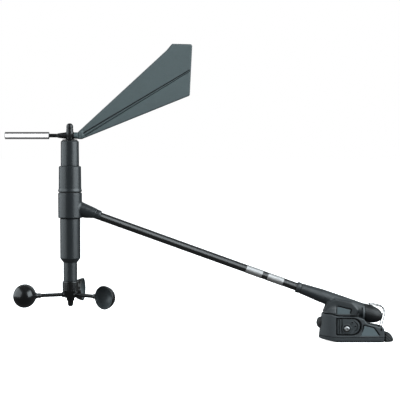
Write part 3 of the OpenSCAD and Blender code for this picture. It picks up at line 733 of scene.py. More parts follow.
def shoe(X, Y, Z):
    x, z = X - BASE_X, Z - BASE_Z
    side = np.abs(Y)
    plan = area(x, Y, SHOE_PLAN)
    # the foot tapers in, and the edge rounding grows with height
    fillet = 0.5 + 0.7 * np.clip((z - 3.0) / 8.0, 0, 1)
    body = meet(area(x, z, SHOE_SIDE), plan + 0.15 * np.maximum(6.0 - z, 0), fillet)
    # line round the foot, rising to the -X end, then the bead
    line = 5.1 + 1.7 * np.clip((-13.0 - x) / 21.0, 0, 1)
    body = cut(body, both(slab(z, line, 0.32), -0.75 - plan), 0.2)
    for run in bead_runs(x, side, z):
        body = join(body, run, 0.5)
    body = both(body, plan)
    # open slot for the lug, and the lower deck between the horns
    body = cut(body, block((x, Y, z), (-6, 0, 24), (19, 7.3, 20), 0.5), 0.5)
    body = cut(body, extrude(area(x, z, DECK), Y, 10.0, 0.7), 0.6)
    # side recesses
    body = cut(body, extrude(area(x, z, RECESS), side - (HALF + 0.2), 1.8, 0.2), 0.3)
    panel = area(x, z, PANEL)
    body = cut(body, extrude(panel, side - (HALF + 0.3), 0.75, 0.2), 0.3)
    # deep grooves round the plate and the panel, and an upright oval slot
    moat = both(slab(area(x, z, PLATE), 0.9, 0.6), HALF - 3.4 - side, -16.3 - x)
    body = cut(body, moat, 0.3)
    edge = both(slab(panel, 0.1, 0.62), 7.6 - z, 11.0 - x, HALF - 1.9 - side)
    body = cut(body, edge, 0.3)
    oval = both(radius((x - 31.3) / 0.85, (z - 14.0) / 2.1) - 1.0, HALF - 1.2 - side)
    body = cut(body, oval, 0.3)
    # pivot bore, and two upright holes that widen above z = 4
    body = cut(body, from_pivot(X, Z) - PIN_HOLE_R, 0.3)
    for end in (-1, 1):
        off = radius(x - 2 - 22 * end, Y)
        body = cut(body, either(off - 2.2, both(off - 4.4, 4 - z)), 0.4)
    # bail: its bore and the room for its legs
    body = both(body, -(radius(X - BAIL_X, Z - BAIL_Z) - 0.56))
    room = block((X, side, Z), (BAIL_X + 4.1, 7.0, BAIL_Z + 4.2), (5.0, 0.9, 5.0), 0.3)
    body = cut(body, room, 0.3)
    # seats of the nose plug and of the bumper's stem
    off = radius(Y, z - PLUG_Z)
    seat = both(off - PLUG_R - 0.12, x - PLUG_X - 3.02)
    seat = either(seat, both(off - 3.05, np.abs(x - PLUG_X - 4) - 4))
    body = cut(body, seat, 0.3)
    return cut(body, both(radius(Y, z - STEM_Z) - 3.05, slab(x, 35, 5.5)), 0.25)


def shoe_paint(X, Y, Z):
    """1 = inlay of the side panel, 2 = painted highlight along the bead."""
    x, z, side = X - BASE_X, Z - BASE_Z, np.abs(Y)
    inlay = (area(x, z, PANEL) < -0.7) & (side > HALF - 0.7)
    # the bead faces get the painted highlight
    return np.where(inlay, 1, np.where(either(*bead_runs(x, side, z)) < 0.08, 2, 0))


paint(moulded("mast_shoe", shoe, 0.32), shoe_paint, MAT["inlay"], MAT["edge"])


def side_plate(X, Y, Z, sign):
    """D-shaped plate on the sign * Y side of the shoe."""
    x, y, z = X - BASE_X, Y * sign, Z - BASE_Z
    flat = area(x, z, PLATE)
    face = HALF - 0.75
    plate = extrude(flat, y - (face - 0.41), 0.41, 0.12)
    # upright rib between two grooves
    rib = both(slab(x, -12.3, 0.55), slab(y, face + 0.1, 0.5), flat + 0.3)
    plate = join(plate, rib, 0.25)
    plate = cut(plate, both(slab(x, -10.8, 0.55), face - 0.65 - y, flat + 0.4), 0.2)
    plate = cut(plate, both(slab(x, -13.7, 0.4), face - 0.6 - y, flat + 0.4), 0.2)
    # part ring and groove following the round end
    off = radius(x - 0.6, z - PLATE_Z)
    ring = both(slab(off, 6.6, 0.5), slab(y, face, 0.4), 2.6 - x)
    plate = join(plate, both(ring, flat + 0.5), 0.3)
    plate = cut(plate, both(slab(off, 5.5, 0.4), face - 0.55 - y, 2.6 - x), 0.2)
    # raised ring round the pivot, and two small ringed holes
    off = from_pivot(X, Z)
    plate = join(plate, both(slab(off, 4.3, 0.75), slab(y, face + 0.05, 0.58)), 0.35)
    for hole_x, hole_z in ((0.2, 21.2), (3.6, 17.2)):
        hole = radius(x - hole_x, z - hole_z)
        plate = join(plate, both(slab(hole, 1.35, 0.3), slab(y, face, 0.3)), 0.2)
        plate = cut(plate, hole - 0.8, 0.2)
    return cut(plate, off - PIN_HOLE_R, 0.2)


for node, sign in (("side_plate_near", -1), ("side_plate_far", 1)):
    moulded(node, lambda X, Y, Z: side_plate(X, Y, Z, sign), 0.2)

BOLT_HEAD = [(-4, 0), (2.95, 0), (2.95, 0.85), (2.65, 1.45), (1.9, 1.9), (0.9, 2.04), (-4, 2.06)]


def pivot_bolt(X, Y, Z):
    """Bolt with a domed, cross-slotted head on the -Y side."""
    off = from_pivot(X, Z)
    y = -Y - (HALF - 0.07)
    bolt = area(off, y, BOLT_HEAD) - 0.02
    bolt = either(bolt, both(off - 1.5, slab(Y, 1.7, HALF + 1.65)))
    turn = math.radians(38)
    for angle in (turn, turn + math.pi / 2):
        length = (X - PIVOT_X) * math.cos(angle) + (Z - PIVOT_Z) * math.sin(angle)
        width = -(X - PIVOT_X) * math.sin(angle) + (Z - PIVOT_Z) * math.cos(angle)
        slot = both(np.abs(length) - 1.9 + y * 0.25, np.abs(width) - 0.36, 0.9 - y)
        bolt = cut(bolt, slot, 0.12)
    return bolt


moulded("pivot_bolt", pivot_bolt, 0.17)


def pivot_nut(X, Y, Z):
    """Hexagon nut on the +Y side."""
    x, y, z = X - PIVOT_X, Y - (HALF + 0.46), Z - PIVOT_Z
    hexagon = np.maximum(np.abs(z), np.abs(z) * 0.5 + np.abs(x) * 0.866) - 2.72
    nut = extrude(hexagon, y - 1.2, 1.2, 0.15)
    off = radius(x, z)
    nut = meet(nut, off + np.abs(y - 1.2) * 0.55 - 3.75, 0.15)
    return cut(nut, off - 1.52, 0.25)


moulded("pivot_nut", pivot_nut, 0.17)
turned("pivot_washer",
       rounded([(1.62, 0.02, 0.1), (3.48, 0.0, 0.12), (3.48, 0.49, 0.12), (1.62, 0.49, 0.1)], 4),
       (PIVOT_X, BOX["pivot_washer"][0][1], PIVOT_Z), axis=(0, 1, 0), segments=72)

# nose plug: stem, collar and rubber dome
turned("nose_plug",
       [(0.0, -7.0), (2.6, -7.0), (3.0, -6.6), (3.0, -3.0), (PLUG_R, -3.0), (PLUG_R, -1.6)]
       + arc((0, -1.6), (PLUG_R, 4.6), range(6, 86, 6)) + [(0.0, 3.0)],
       (PLUG_FACE, 0, PLUG_Z + BASE_Z), axis=(-1, 0, 0), segments=120)

BUMPER_R = BOX["rear_bumper"][1][2] - BASE_Z
BUMPER_X = BOX["rear_bumper"][1][0] - BUMPER_R      # the flat face of the dome


def rear_bumper(X, Y, Z):
    """Quarter ball at the +X end of the shoe, with a stem into it."""
    x, z = X - BUMPER_X, Z - BASE_Z
    off = np.sqrt(x * x + Y * Y + z * z)
    dome = off - BUMPER_R + 0.05
    dome = meet(dome, 0.06 - x, 0.2)
    dome = meet(dome, -z + 0.02, 0.8)
    dome = cut(dome, both(slab(x, 0.5, 0.45), BUMPER_R - 1.0 - off), 0.2)
    # slanting grooves across the dome
    slant = x * 0.62 + z * 0.78
    for place in (2.3, 4.5, 6.7):
        dome = cut(dome, both(slab(slant, place, 0.28), BUMPER_R - 0.65 - off), 0.4)
    stem = both(radius(Y, z - STEM_Z) - 3.0, slab(X, BUMPER_X - 2.4, 2.9))
    return either(dome, stem)


# the bumper's back face and neck groove get the painted shade
paint(moulded("rear_bumper", rear_bumper, 0.28, MAT["bumper"]),
      lambda X, Y, Z: X < BUMPER_X + 0.95, MAT["seam"])

# ------------------------------------------------------------------ arm socket, cap and spar
SKIRT = rounded([(-26.0, 42, 1), (-30.0, 31.2, 0.8), (-22.4, 30.9, 3), (-16, 28.4, 3),
                 (4.6, 28.4, 0.8), (6.4, 34.5, 2), (0, 42, 2), (-18, 46, 2)])
SKIRT_NOSE = rounded([(-26.0, 42, 1), (-30.0, 31.2, 0.8), (-22.4, 30.9, 3), (-17.5, 29.0, 1),
                      (-16.9, 41, 1)])
WINDOW = rounded([(-16.0, 29.5, 0.5), (-1.9, 29.5, 0.7), (-0.4, 35.2, 0.7), (-16.0, 38.9, 0.5)])
LUG = rounded([(-19, 31), (-14.6, 14.9, 2), (3.4, 14.9, 1), (8.5, 30, 2), (4, 36), (-19, 36)])
# (radius, distance along the spar)
SLEEVE = [(-4, 258.6), (5.45, 258.6), (5.85, 259.0), (5.95, 259.5), (5.95, 261.2), (5.8, 261.8),
          (5.6, 262.4), (7.25, 287), (7.65, 310), (7.8, 345), (-4, 345)]
SOCKET_END = BOX["arm_socket"][1][0]
FLANGE_X = SOCKET_END - 1.1
FLANGE_Z = 31.5
# the connector cap leans 16 degrees down towards +X
CAP_DIR = unit([math.cos(math.radians(16)), 0, -math.sin(math.radians(16))])
CAP_ORIGIN = np.array([BASE_X + 14.5, 0, BASE_Z + 31.2])


def arm_socket(X, Y, Z):
    x, z = X - BASE_X, Z - BASE_Z
    side = np.abs(Y)
    place, off = along((X, Y, Z), SPAR_ORIGIN, SPAR_DIR)
    body = meet(area(off, place, SLEEVE), X - SOCKET_END, 0.4)
    # flange at the +X end, with a groove behind it
    ring = radius(Y, z - FLANGE_Z)
    groove = both(slab(X, SOCKET_END - 2.9, 0.7), 7.5 - ring, 5.2 - side, z - 37) \
        if False else both(slab(X, SOCKET_END - 2.9, 0.7), 7.5 - ring, both(5.2 - side, z - 37))
    body = cut(body, groove, 0.4)
    body = join(body, meet(ring - 9.0, slab(X, FLANGE_X, 1.05), 0.35), 0.3)
    # skirt that carries on the shoe's plan
    plan = area(x, Y, SHOE_PLAN)
    skirt = meet(extrude(area(x, z, SKIRT), Y, 9.3, 0.5), plan, 1.4)
    nose = meet(area(x, z, SKIRT_NOSE), plan + 0.62 * np.clip(z - 31.8, 0, 9), 1.2)
    body = join(body, join(skirt, nose, 1.2), 2.4)
    # lug round the pivot, and the block under the flange
    body = either(body, extrude(area(x, z, LUG), Y, 6.9, 0.4),
                  meet(from_pivot(X, Z) - 9.0, side - 6.9, 0.5))
    body = join(body, block((x, Y, z), (7.7, 0, 28.9), (4.7, 5, 4.4), 0.6), 0.8)
    # side windows with a groove round them, and a line round the sleeve
    window = area(x, z, WINDOW)
    body = cut(body, extrude(window, side - 10.9, 2.1, 0.3), 0.3)
    edge = both(slab(window, 0.1, 0.6), 30.6 - z, -15.2 - x, 7.7 - side)
    body = cut(body, edge, 0.25)
    body = cut(body, both(slab(place, 263.6, 0.2), 5.1 - off), 0.25)
    # bores of the pivot, the spar and the cap
    body = cut(body, from_pivot(X, Z) - 2.53, 0.25)
    body = cut(body, both(off - SPAR_R - 0.03, slab(place, 275.5, 25.5)), 0.3)
    body = cut(body, both(off - 2.9, slab(place, 315.5, 15.5)), 0.2)
    place, off = along((X, Y, Z), CAP_ORIGIN, CAP_DIR)
    return cut(body, both(off - 5.65, slab(place, 6, 14)), 0.3)


def socket_paint(X, Y, Z):
    """1 = inlay of the side window, 2 = painted highlight on the rim of the flange."""
    x, z, side = X - BASE_X, Z - BASE_Z, np.abs(Y)
    inlay = (area(x, z, WINDOW) < -0.65) & (side > 8.4) & (side < 9.2)
    # painted highlight on the outer rim of the flange
    rim = (radius(Y, z - FLANGE_Z) > 8.3) & (np.abs(X - FLANGE_X) < 1.15) & (z < 38.5)
    return np.where(inlay, 1, np.where(rim, 2, 0))


paint(moulded("arm_socket", arm_socket, 0.34), socket_paint, MAT["inlay"], MAT["edge"])

CAP_R = 9.4
CAP = ([(-6, -8), (CAP_R - 0.35, -6), (CAP_R, -2), (CAP_R, 4.3)]
       + arc((0, 4.5), (CAP_R, 15.9), range(4, 90, 4)) + [(0, 20.4), (-6, 20.4)])


def connector_cap(X, Y, Z):
    place, off = along((X, Y, Z), CAP_ORIGIN, CAP_DIR)
    cap = meet(area(off, place, CAP), BASE_X + 14.53 - X, 0.5)
    return cut(cap, both(off - 6.4, slab(place, 1, 10)), 0.4)


moulded("connector_cap", connector_cap, 0.25)

turned("spar_tube", rounded([(2.9, SPAR_START, 0.3), (SPAR_R, SPAR_START, 0.3),
                             (SPAR_R, SPAR_END, 0.3), (2.9, SPAR_END, 0.3)], 4),
       SPAR_ORIGIN, axis=SPAR_DIR, segments=128)
for node in ("band_front", "band_rear"):
    start, end = spar_span(node)
    turned(node, rounded([(SPAR_R + 0.01, start, 0), (SPAR_R + 0.16, start, 0.07),
                          (SPAR_R + 0.16, end, 0.07), (SPAR_R + 0.01, end, 0)], 4),
           SPAR_ORIGIN, axis=SPAR_DIR, segments=128)

# ------------------------------------------------------------------ sensor head
# (radius, height above the base face, fillet)
COLLAR_R = BOX["upper_sleeve"][1][0] - HEAD_X
COLLAR = [(-5, 133.0), (COLLAR_R - 0.7, 133.0), (COLLAR_R - 0.2, 133.25), (COLLAR_R, 133.8),
          (COLLAR_R, 159.2), (COLLAR_R - 0.15, 159.8), (COLLAR_R - 0.5, 160.0), (11.3, 160.0),
          (11.3, 168.0), (-5, 168.0)]
COLLAR_BORE = [(10.1, 128), (10.1, 141), (8.3, 141), (8.3, 155.45), (9.0, 155.45), (9.0, 172),
               (-6, 172), (-6, 128)]
# (radius, distance along the spar)
BOSS = [(-4, 3), (8.3, 5), (8.0, 11), (6.5, 28.5), (6.15, 29.4), (6.0, 32.3), (5.75, 33.8),
        (5.4, 34.45), (-4, 34.5)]


def body_collar(X, Y, Z):
    """Collar round the head, with the boss that holds the spar."""
    z = Z - BASE_Z
    off = radius(X - HEAD_X, Y)
    place, spar_off = along((X, Y, Z), SPAR_ORIGIN, SPAR_DIR)
    boss = area(spar_off, place, BOSS)
    boss = cut(boss, both(slab(place, 29.3, 0.2), 5.75 - spar_off), 0.2)
    body = join(area(off, z, COLLAR), boss, 1.3)
    body = both(body, 133.0 - z, z - 168.0)
    body = cut(body, area(off, z, COLLAR_BORE), 0.3)
    body = cut(body, both(spar_off - SPAR_R - 0.03, slab(place, 28, 13.5)), 0.25)
    return both(body, -both(spar_off - 2.3, slab(place, 10, 10)))


moulded("body_collar", body_collar, 0.34)
turned("upper_sleeve", rounded([
    (11.4, 161.2, 0.15), (COLLAR_R, 161.2, 0.3), (COLLAR_R, 162.3, 0.5), (12.15, 164.7, 0.9),
    (11.9, 187.8, 0.45), (11.05, 188.7, 0.35), (9.9, 188.7, 0.15), (9.9, 171.15, 0),
    (11.4, 171.15, 0)]))
turned("upper_tube", rounded([
    (8.0, 168.06), (11.3, 168.06), (11.3, 171.1), (9.83, 171.1), (9.85, 189.5),
    (9.65, 214.9, 0.5), (8.65, 215.9, 0.5), (3.4, 215.9, 0.2), (3.1, 215.6, 0.1),
    (2.1, 215.6, 0.1), (2.1, 213.95), (7.0, 213.95), (7.0, 175.9), (8.0, 175.9)]))
LOWER_R = BOX["lower_tube"][1][0] - HEAD_X
NECK_R = 7.4
turned("lower_tube", rounded([
    (4.03, 58), (NECK_R - 0.5, 58, 0.2), (NECK_R, 58.5, 0.2), (NECK_R, 85.4, 0.6),
    (8.2, 85.9, 0.8), (LOWER_R, 89.6, 1.4), (LOWER_R, 131.9, 0.4), (LOWER_R - 0.4, 132.85, 0.3),
    (10.05, 132.85, 0.1), (10.05, 139.9, 0), (8.8, 139.9, 0), (8.8, 104.0), (7.1, 104.0),
    (7.1, 101.6), (8.8, 100.2), (8.8, 91), (5.5, 87), (5.5, 84), (3.0, 84), (3.0, 82.1),
    (4.03, 82.1)]))

# ------------------------------------------------------------------ wind vane
HUB_CORE = [(-3, 217.4), (3.9, 217.4), (4.15, 218.0), (3.95, 221.0), (3.8, 225.5), (3.75, 228.6),
            (3.55, 229.0), (-3, 229.0)]
# (radius, distance from the head's axis towards -X)
HUB_NOSE = [(-3, -4.6), (3.45, -4.6), (3.6, -4.4), (3.6, 3.5), (3.45, 5.2), (3.15, 7.6),
            (2.45, 12.4), (2.2, 13.2), (1.9, 13.4), (-3, 13.4)]


def vane_hub(X, Y, Z):
    x = X - HEAD_X
    upright, level = radius(x, Y), radius(Y, Z - VANE_Z)    # from the two axes
    hub = join(area(upright, Z - BASE_Z, HUB_CORE), area(level, -x, HUB_NOSE), 1.2)
    hub = cut(hub, upright - 1.51, 0.2)
    hub = cut(hub, both(level - 1.22, 6.0 + x), 0.2)
    hub = cut(hub, both(level - 1.22, 2.3 - x), 0.2)
    return both(hub, x - 4.6)


moulded("vane_hub", vane_hub, 0.22)

# (x from the head's axis, height above the base face, fillet)
BLADE_TOP = BOX["vane_blade"][1][2] - BASE_Z
BLADE = rounded([
    (9.1, 217.8, 0.6), (13.6, 217.7, 4), (128.6, 264.0, 2.2), (131.3, BLADE_TOP - 0.5, 2.2),
    (109.6, BLADE_TOP, 2.2), (103.6, 312.2, 2), (10.9, 227.1, 2), (9.1, 224.9, 0.8)], 8)
ROOT = rounded([(9.1, 217.9, 0.6), (12.5, 217.9, 2), (14.5, 220.0, 1), (13.6, 225.6, 1),
                (11, 226.2, 1.5), (9.1, 224.7, 0.6)])
BLADE_HALF = 0.9        # half the full thickness
SPINE_START, SPINE_END = np.array([13.0, 220.9]), np.array([129.2, 290.9])
SPINE_DIR = unit(SPINE_END - SPINE_START)
SPINE_LENGTH = np.linalg.norm(SPINE_END - SPINE_START)


def spine(x, z):
    """Distance along and across the blade's spine, share of its length, half width there."""
    off_x, off_z = x - SPINE_START[0], z - SPINE_START[1]
    place = off_x * SPINE_DIR[0] + off_z * SPINE_DIR[1]
    across = -off_x * SPINE_DIR[1] + off_z * SPINE_DIR[0]
    share = np.clip(place / SPINE_LENGTH, 0, 1)
    return place, across, share, 1.25 - 0.95 * share


def vane_blade(X, Y, Z):
    x, z = X - HEAD_X, Z - BASE_Z
    side = np.abs(Y)
    flat = area(x, z, BLADE)
    # thinner towards the edge
    half = 0.36 + np.clip(-flat * 0.5, 0, 0.54)
    blade = meet(flat, (side - half) * 0.9, 0.3)
    # spine: a raised tapering rib between two grooves that close together towards the tail
    place, across, share, width = spine(x, z)
    rib = (across / width) ** 2 + (side / (1.6 - 0.55 * share)) ** 2
    rib = np.sqrt(np.maximum(rib, 1e-9)) - 1
    rib = both(rib * (1.0 - 0.6 * share), -place, place - SPINE_LENGTH)
    tail = place - SPINE_LENGTH + 1
    upper = both(np.abs(across - width - 0.45) - (0.62 - 0.2 * share),
                 (BLADE_HALF - 0.55) - side, -place - 1, tail)
    lower = both(np.abs(across + width + 0.3) - (0.32 - 0.1 * share),
                 (BLADE_HALF - 0.35) - side, -place + 3, tail)
    blade = cut(blade, upper, 0.25)
    blade = cut(blade, lower, 0.2)
    blade = both(join(blade, rib, 0.2), flat)
    # thick root, boss and the pin into the hub
    blade = join(blade, extrude(area(x, z, ROOT), Y, 2.0, 0.7), 1.6)
    off = radius(Y, Z - VANE_Z)
    boss = meet(off - 3.5, slab(x, 6.85, 2.2), 0.3)
    boss = cut(boss, both(slab(x, 8.95, 0.22), 3.0 - off), 0.1)
    blade = join(blade, boss, 0.5)
    return either(blade, both(off - 1.2, slab(x, 4.4, 2.0)))


def blade_paint(X, Y, Z):
    """1 = painted shade along the rim, 2 and 3 = painted shade in the upper and lower grooves along
    the spine.
    """
    x, z = X - HEAD_X, Z - BASE_Z
    place, across, share, width = spine(x, z)
    inside = (np.abs(Y) < 0.95) & (place < SPINE_LENGTH)
    upper = inside & (np.abs(across - width - 0.45) < 0.62 - 0.2 * share) & (place > 0.5)
    lower = inside & (np.abs(across + width + 0.3) < 0.36 - 0.1 * share) & (place > 3)
    # painted shade along the blade's thin rim
    rim = (area(x, z, BLADE) > -0.75) & (x > 9.2)
    return np.where(upper, 2, np.where(lower, 3, np.where(rim, 1, 0)))


paint(moulded("vane_blade", vane_blade, 0.36), blade_paint,
      MAT["blade_rim"], MAT["blade_groove"], MAT["blade_line"])

turned("counterweight_rod", rounded([
    (0, 6.2), (1.2, 6.2, 0.2), (1.2, 13.45, 0), (1.85, 13.45, 0.2), (2.0, 13.9, 0.2),
    (2.0, 21.6, 0.2), (1.85, 21.95, 0.1), (1.5, 21.95, 0), (1.5, 34, 0.3), (0, 34)], 4),
    VANE_CENTRE, axis=(-1, 0, 0), segments=64)
WEIGHT_START, WEIGHT_END = (corner[0] for corner in BOX["counterweight"])
WEIGHT_R = half_height("counterweight")
WEIGHT_LENGTH = WEIGHT_END - WEIGHT_START


# painted shade: picks the chamfers at both ends of the counterweight for the duller steel
def weight_rims_painted_shade(X, Y, Z):
    from_end = np.minimum(np.abs(X - WEIGHT_START), np.abs(X - WEIGHT_END))
    return (from_end < 0.75) & (radius(Y, Z - VANE_Z) > WEIGHT_R - 1.0)


weight = turned("counterweight", rounded([
    (1.52, 0.0, 0.1), (WEIGHT_R - 0.55, 0, 0.2), (WEIGHT_R, 0.55, 0.25),
    (WEIGHT_R, WEIGHT_LENGTH - 0.6, 0.35), (WEIGHT_R - 0.6, WEIGHT_LENGTH, 0.35),
    (0, WEIGHT_LENGTH), (0, 13), (1.52, 13)]),
    (WEIGHT_END, 0, VANE_Z), axis=(-1, 0, 0), segments=160)
paint(weight, weight_rims_painted_shade, MAT["weight_end"])
turned("vane_nut", rounded([
    (1.51, 229.03), (3.4, 229.03, 0.1), (3.65, 229.3, 0.2), (3.65, 231.2, 0.8),
    (3.35, 232.5, 0.9), (2.6, 233.6, 0.9), (1.4, 234.3, 0.8), (0, 234.5), (0, 232.5),
    (1.51, 232.5)], 5), segments=96)
turned("rain_shield", rounded([
    (1.51, 216.05), (8.05, 216.05, 0.15), (8.2, 216.25, 0.15), (8.2, 216.8, 0.25),
    (7.6, 217.15, 0.3), (5.6, 217.37, 0.2), (1.51, 217.37)], 5))

# ------------------------------------------------------------------ cup rotor
arm_middles = [vertices("cup_arm_%d" % i).mean(0) for i in (1, 2, 3)]
HEADINGS = [math.atan2(float(middle[1]), float(middle[0] - HEAD_X)) for middle in arm_middles]
ARM_R = half_height("cup_arm_1")


def turned_back(X, Y, heading):
    """Distances from the head's axis along and across an arm."""
    cos, sin = math.cos(heading), math.sin(heading)
    return (X - HEAD_X) * cos + Y * sin, -(X - HEAD_X) * sin + Y * cos


# size and place of a cup: x outward along its arm, y along the cup's own axis
cup_points = vertices("cup_1")
cup_x, cup_y = turned_back(cup_points[:, 0], cup_points[:, 1], HEADINGS[0])
cup_z = cup_points[:, 2] - ROTOR_Z
CUP_R = (cup_z.max() - cup_z.min()) / 2
CUP_X = cup_x.max() - CUP_R
CUP_START, CUP_END = cup_y.min(), cup_y.max()
CUP_DEPTH = CUP_END - CUP_START - 0.2
ARM_Y = 3.2             # of the arm, from the cup's mouth


def bowl(mouth, depth, start):
    """Slightly pointed bowl as (radius, height)."""
    angles = [math.radians(angle) for angle in np.linspace(start, 88, 22)]
    return [(mouth * math.cos(angle) ** 1.12, 0.6 + depth * math.sin(angle) ** 1.12)
            for angle in angles]


CUP_OUTER = ([(-3, -0.15), (CUP_R - 0.75, -0.17), (CUP_R - 0.3, -0.1), (CUP_R - 0.02, 0.15),
              (CUP_R, 0.5), (CUP_R - 0.02, 0.8), (CUP_R - 0.32, 1.0)]
             + bowl(CUP_R - 0.25, CUP_DEPTH - 0.6, 6) + [(0, CUP_DEPTH), (-3, CUP_DEPTH)])
CUP_INNER = ([(-3, -4), (CUP_R - 1.0, -4)] + bowl(CUP_R - 1.0, CUP_DEPTH - 1.6, 0)
             + [(0, CUP_DEPTH - 1.0), (-3, CUP_DEPTH - 1.0)])


def cup_shape(x, y, z):
    x = x - CUP_X
    y = y - CUP_START - 0.2
    off = radius(x, z)
    # sleeve round the end of the arm
    sleeve = capsule((x, y, z), (-CUP_R - 4.0, ARM_Y, 0), (-CUP_R + 1.8, ARM_Y, 0), ARM_R + 0.65)
    sleeve = cut(sleeve, x + CUP_R + 4.2, 0.3)
    cup = both(join(area(off, y, CUP_OUTER), sleeve, 2.2), -0.17 - y)
    cup = cut(cup, area(off, y, CUP_INNER), 0.25)
    bore = both(radius(y - ARM_Y, z) - ARM_R - 0.02, np.abs(x + CUP_R + 4.7) - 5.35)
    return cut(cup, bore, 0.15)


# painted light: picks the inner wall of each cup for the light grey copy of the rotor plastic
def cup_inside_painted_light(X, Y, Z):
    x, y = turned_back(X, Y, heading)
    x, y = x - CUP_X, y - CUP_START - 0.2
    return (np.abs(area(radius(x, Z - ROTOR_Z), y, CUP_INNER)) < 0.3) & (y > 0.3)


cup_points, cup_quads = surface_nets(
    cup_shape, (CUP_X - CUP_R - 5.2, CUP_START - 0.8, -CUP_R - 0.8),
    (CUP_X + CUP_R + 0.8, CUP_END + 0.8, CUP_R + 0.8), 0.3)
cup_x, cup_y, cup_z = cup_points.T
for i, heading in enumerate(HEADINGS, 1):
    cos, sin = math.cos(heading), math.sin(heading)
    points = np.stack([HEAD_X + cos * cup_x - sin * cup_y, sin * cup_x + cos * cup_y,
                       ROTOR_Z + cup_z], 1)
    paint(add_piece("cup_%d" % i, points, cup_quads), cup_inside_painted_light, MAT["rotor_inner"])
    arm_start, arm_end = 4.25, CUP_X - CUP_R + 0.6
    turned("cup_arm_%d" % i, rounded([(0, arm_start), (ARM_R, arm_start, 0.2),
                                      (ARM_R, arm_end, 0.3), (0, arm_end)], 4),
           (HEAD_X, 0, ROTOR_Z), axis=(cos, sin, 0), segments=64, mat=MAT["arm"])

ROTOR_HUB = [(-3, 46.95), (5.5, 46.95), (5.85, 47.15), (6.05, 47.6), (7.2, 52.0), (7.6, 53.0),
             (8.35, 53.95), (8.6, 54.7), (8.6, 63.9), (8.45, 64.5), (8.15, 64.7), (-3, 64.7)]
ROTOR_HUB_BORE = [(-3, 58.8), (2.3, 58.8), (2.6, 57.4), (7.7, 57.4), (7.7, 70), (-3, 70)]


def rotor_hub(X, Y, Z):
    off = radius(X - HEAD_X, Y)
    z = Z - BASE_Z
    hub = area(off, z, ROTOR_HUB)
    # 24 shallow upright flutes round the wide part
    flutes = 0.10 * np.clip(np.cos(np.arctan2(Y, X - HEAD_X) * 24) - 0.2, 0, 1)
    hub = hub + flutes * np.clip((z - 55.2) / 0.4, 0, 1) * np.clip((63.4 - z) / 0.4, 0, 1)
    bores = off - 1.51
    for heading in HEADINGS:
        out, across = turned_back(X, Y, heading)
        arm = radius(across, Z - ROTOR_Z)
        hub = join(hub, meet(arm - ARM_R - 0.9, slab(out, 6.2, 3.2), 0.5), 1.4)
        bores = either(bores, both(arm - ARM_R - 0.01, 4.2 - out))
    hub = cut(hub, area(off, z, ROTOR_HUB_BORE), 0.25)
    return cut(hub, bores, 0.2)


moulded("rotor_hub", rotor_hub, 0.24)
turned("rotor_nut", rounded([
    (0, 37.6), (1.5, 37.7, 0.9), (2.5, 38.4, 0.9), (3.0, 39.9, 0.8), (3.2, 43.4, 0.3),
    (3.9, 44.0, 0.35), (4.4, 46.75, 0.2), (4.3, 46.9, 0.1), (1.51, 46.9), (1.51, 40.9),
    (0, 40.9)]), segments=96)

# ------------------------------------------------------------------ wire bail
# (x, z, fillet) of a leg from the bail's hinge
LEG = rounded([(0, 0, 0), (1.5, 7.4, 6), (4.2, 17.6, 6), (2.4, 23.6, 3.2), (-7.4, 26.07, 12),
               (-11.0, 26.37, 0)], 10, closed=False)
LEG_Y = 7.0
BEND = 1.1              # radius of the bend into the crossbar


def bail_side():
    """The -Y half of the bail, from its inturned foot up to the crossbar."""
    # (x, y outward of the leg, z)
    out = [(BAIL_X + x, -(LEG_Y + y), BAIL_Z + z) for x, y, z in
           ((0, 4.6, 0), (0, 0.9, 0), (0.05, 0.35, 0.12), (0.1, 0.05, 0.55))]
    out += [(BAIL_X + x, -LEG_Y, BAIL_Z + z) for x, z in LEG[1:]]
    for angle in map(math.radians, range(15, 91, 15)):
        out.append((BAIL_X - 11.0 - BEND * math.sin(angle),
                    -(LEG_Y - BEND * (1 - math.cos(angle))), BAIL_Z + 26.4))
    return out


near = bail_side()
wire("wire_bail", near + [(x, -y, z) for x, y, z in near[::-1]], thickness=0.5)

# ------------------------------------------------------------------ floor and world
FLOOR_Z = (CAD_LO[2] - 0.0001) * 1000
floor = bpy.data.objects.new("floor", make_mesh(
    "floor", [(-6000, -4000, FLOOR_Z), (6000, -4000, FLOOR_Z), (6000, 9000, FLOOR_Z),
              (-6000, 9000, FLOOR_Z)], [(0, 1, 2, 3)], smooth=False))
scene.collection.objects.link(floor)
floor.data.materials.append(Graph("floor_white").finish({
    "Base Color": (0.9, 0.9, 0.9, 1), "Roughness": 0.9, "Specular IOR Level": 0.0,
    "Emission Color": (1, 1, 1, 1), "Emission Strength": 0.95}))
floor.visible_glossy = False
floor.visible_diffuse = False

# white to the camera, dim as a light
world = bpy.data.worlds.new("studio")
scene.world = world
world.use_nodes = True
tree = world.node_tree
tree.nodes.clear()
output = tree.nodes.new("ShaderNodeOutputWorld")
background = tree.nodes.new("ShaderNodeBackground")
light_path = tree.nodes.new("ShaderNodeLightPath")
strength = tree.nodes.new("ShaderNodeMix")
strength.data_type = "FLOAT"
strength.inputs[2].default_value = 0.13
strength.inputs[3].default_value = 1.0
background.inputs["Color"].default_value = (1, 1, 1, 1)
tree.links.new(light_path.outputs["Is Camera Ray"], strength.inputs[0])
tree.links.new(strength.outputs[0], background.inputs["Strength"])
tree.links.new(background.outputs[0], output.inputs[0])

# ------------------------------------------------------------------ lights
CENTRE = Vector([(CAD_LO[i] + CAD_HI[i]) / 2 for i in range(3)])
COOL = (0.86, 0.955, 1.0)


def aim(thing, target):
    thing.rotation_euler = (Vector(target) - thing.location).to_track_quat("-Z", "Y").to_euler()


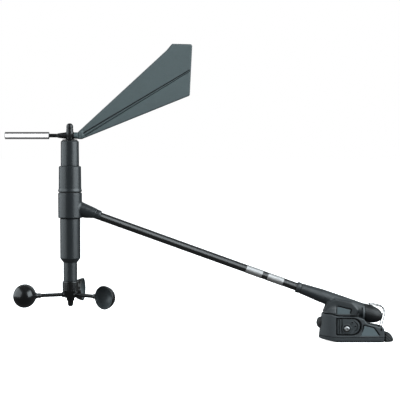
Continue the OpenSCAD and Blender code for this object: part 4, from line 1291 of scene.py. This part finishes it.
def soft_box(name, azimuth, elevation, size, power, distance=1.8, colour=COOL):
    """Area light aimed at the centre; azimuth is from -Y, positive towards +X, degrees."""
    lamp = bpy.data.lights.new(name, "AREA")
    lamp.shape = "RECTANGLE"
    lamp.size, lamp.size_y = size
    lamp.energy = power
    lamp.color = colour
    light = bpy.data.objects.new(name, lamp)
    turn, rise = math.radians(azimuth), math.radians(elevation)
    light.location = CENTRE + Vector((math.sin(turn) * math.cos(rise),
                                      -math.cos(turn) * math.cos(rise),
                                      math.sin(rise))) * distance
    scene.collection.objects.link(light)
    aim(light, CENTRE)
    light.visible_camera = False
    return light


def light_only(light, name, wanted):
    """Limits a light to the meshes whose first material passes wanted."""
    group = bpy.data.collections.new(name)
    scene.collection.children.link(group)
    for thing in list(scene.objects):
        if thing.type == "MESH":
            mats = thing.data.materials
            if wanted(mats[0] if mats else None):
                group.objects.link(thing)
    light.light_linking.receiver_collection = group


soft_box("key_left", azimuth=-82, elevation=20, size=(3.0, 1.9), power=50)
soft_box("key_right", azimuth=69, elevation=24, size=(2.2, 1.9), power=70)
overhead = soft_box("overhead", azimuth=9, elevation=32, size=(0.8, 2.2), power=21,
                    colour=(0.88, 0.965, 1.0))
back = soft_box("fill_back", azimuth=172, elevation=28, size=(2.4, 1.6), power=5)
# the overhead box draws the line on the spar; the upright tubes and the rotor go without it
GLOSSY = [MAT[key] for key in ("rotor_plastic", "arm", "housing_plastic", "hub_plastic")]
light_only(overhead, "overhead_lit", lambda mat: mat not in GLOSSY)
light_only(back, "back_lit", lambda mat: mat != MAT["weight_steel"])
# a white card at the -Y side that lights only the polished counterweight
card = soft_box("front_card", azimuth=0, elevation=4, size=(2.6, 2.6), power=34, distance=0.9,
                colour=(1, 1, 1))
light_only(card, "bright_metal", lambda mat: mat == MAT["weight_steel"])

# ------------------------------------------------------------------ camera
CAMERA_X = -0.1626
lens = bpy.data.cameras.new("camera")
camera = bpy.data.objects.new("camera", lens)
scene.collection.objects.link(camera)
lens.sensor_width = 36.0
lens.lens = 130.5
lens.clip_end = 50
camera.location = (CAMERA_X, -1.555, 0.229)
aim(camera, (CAMERA_X, 0.0, 0.1522))
scene.camera = camera
scene.view_settings.view_transform = "Standard"
scene.view_settings.look = "None"
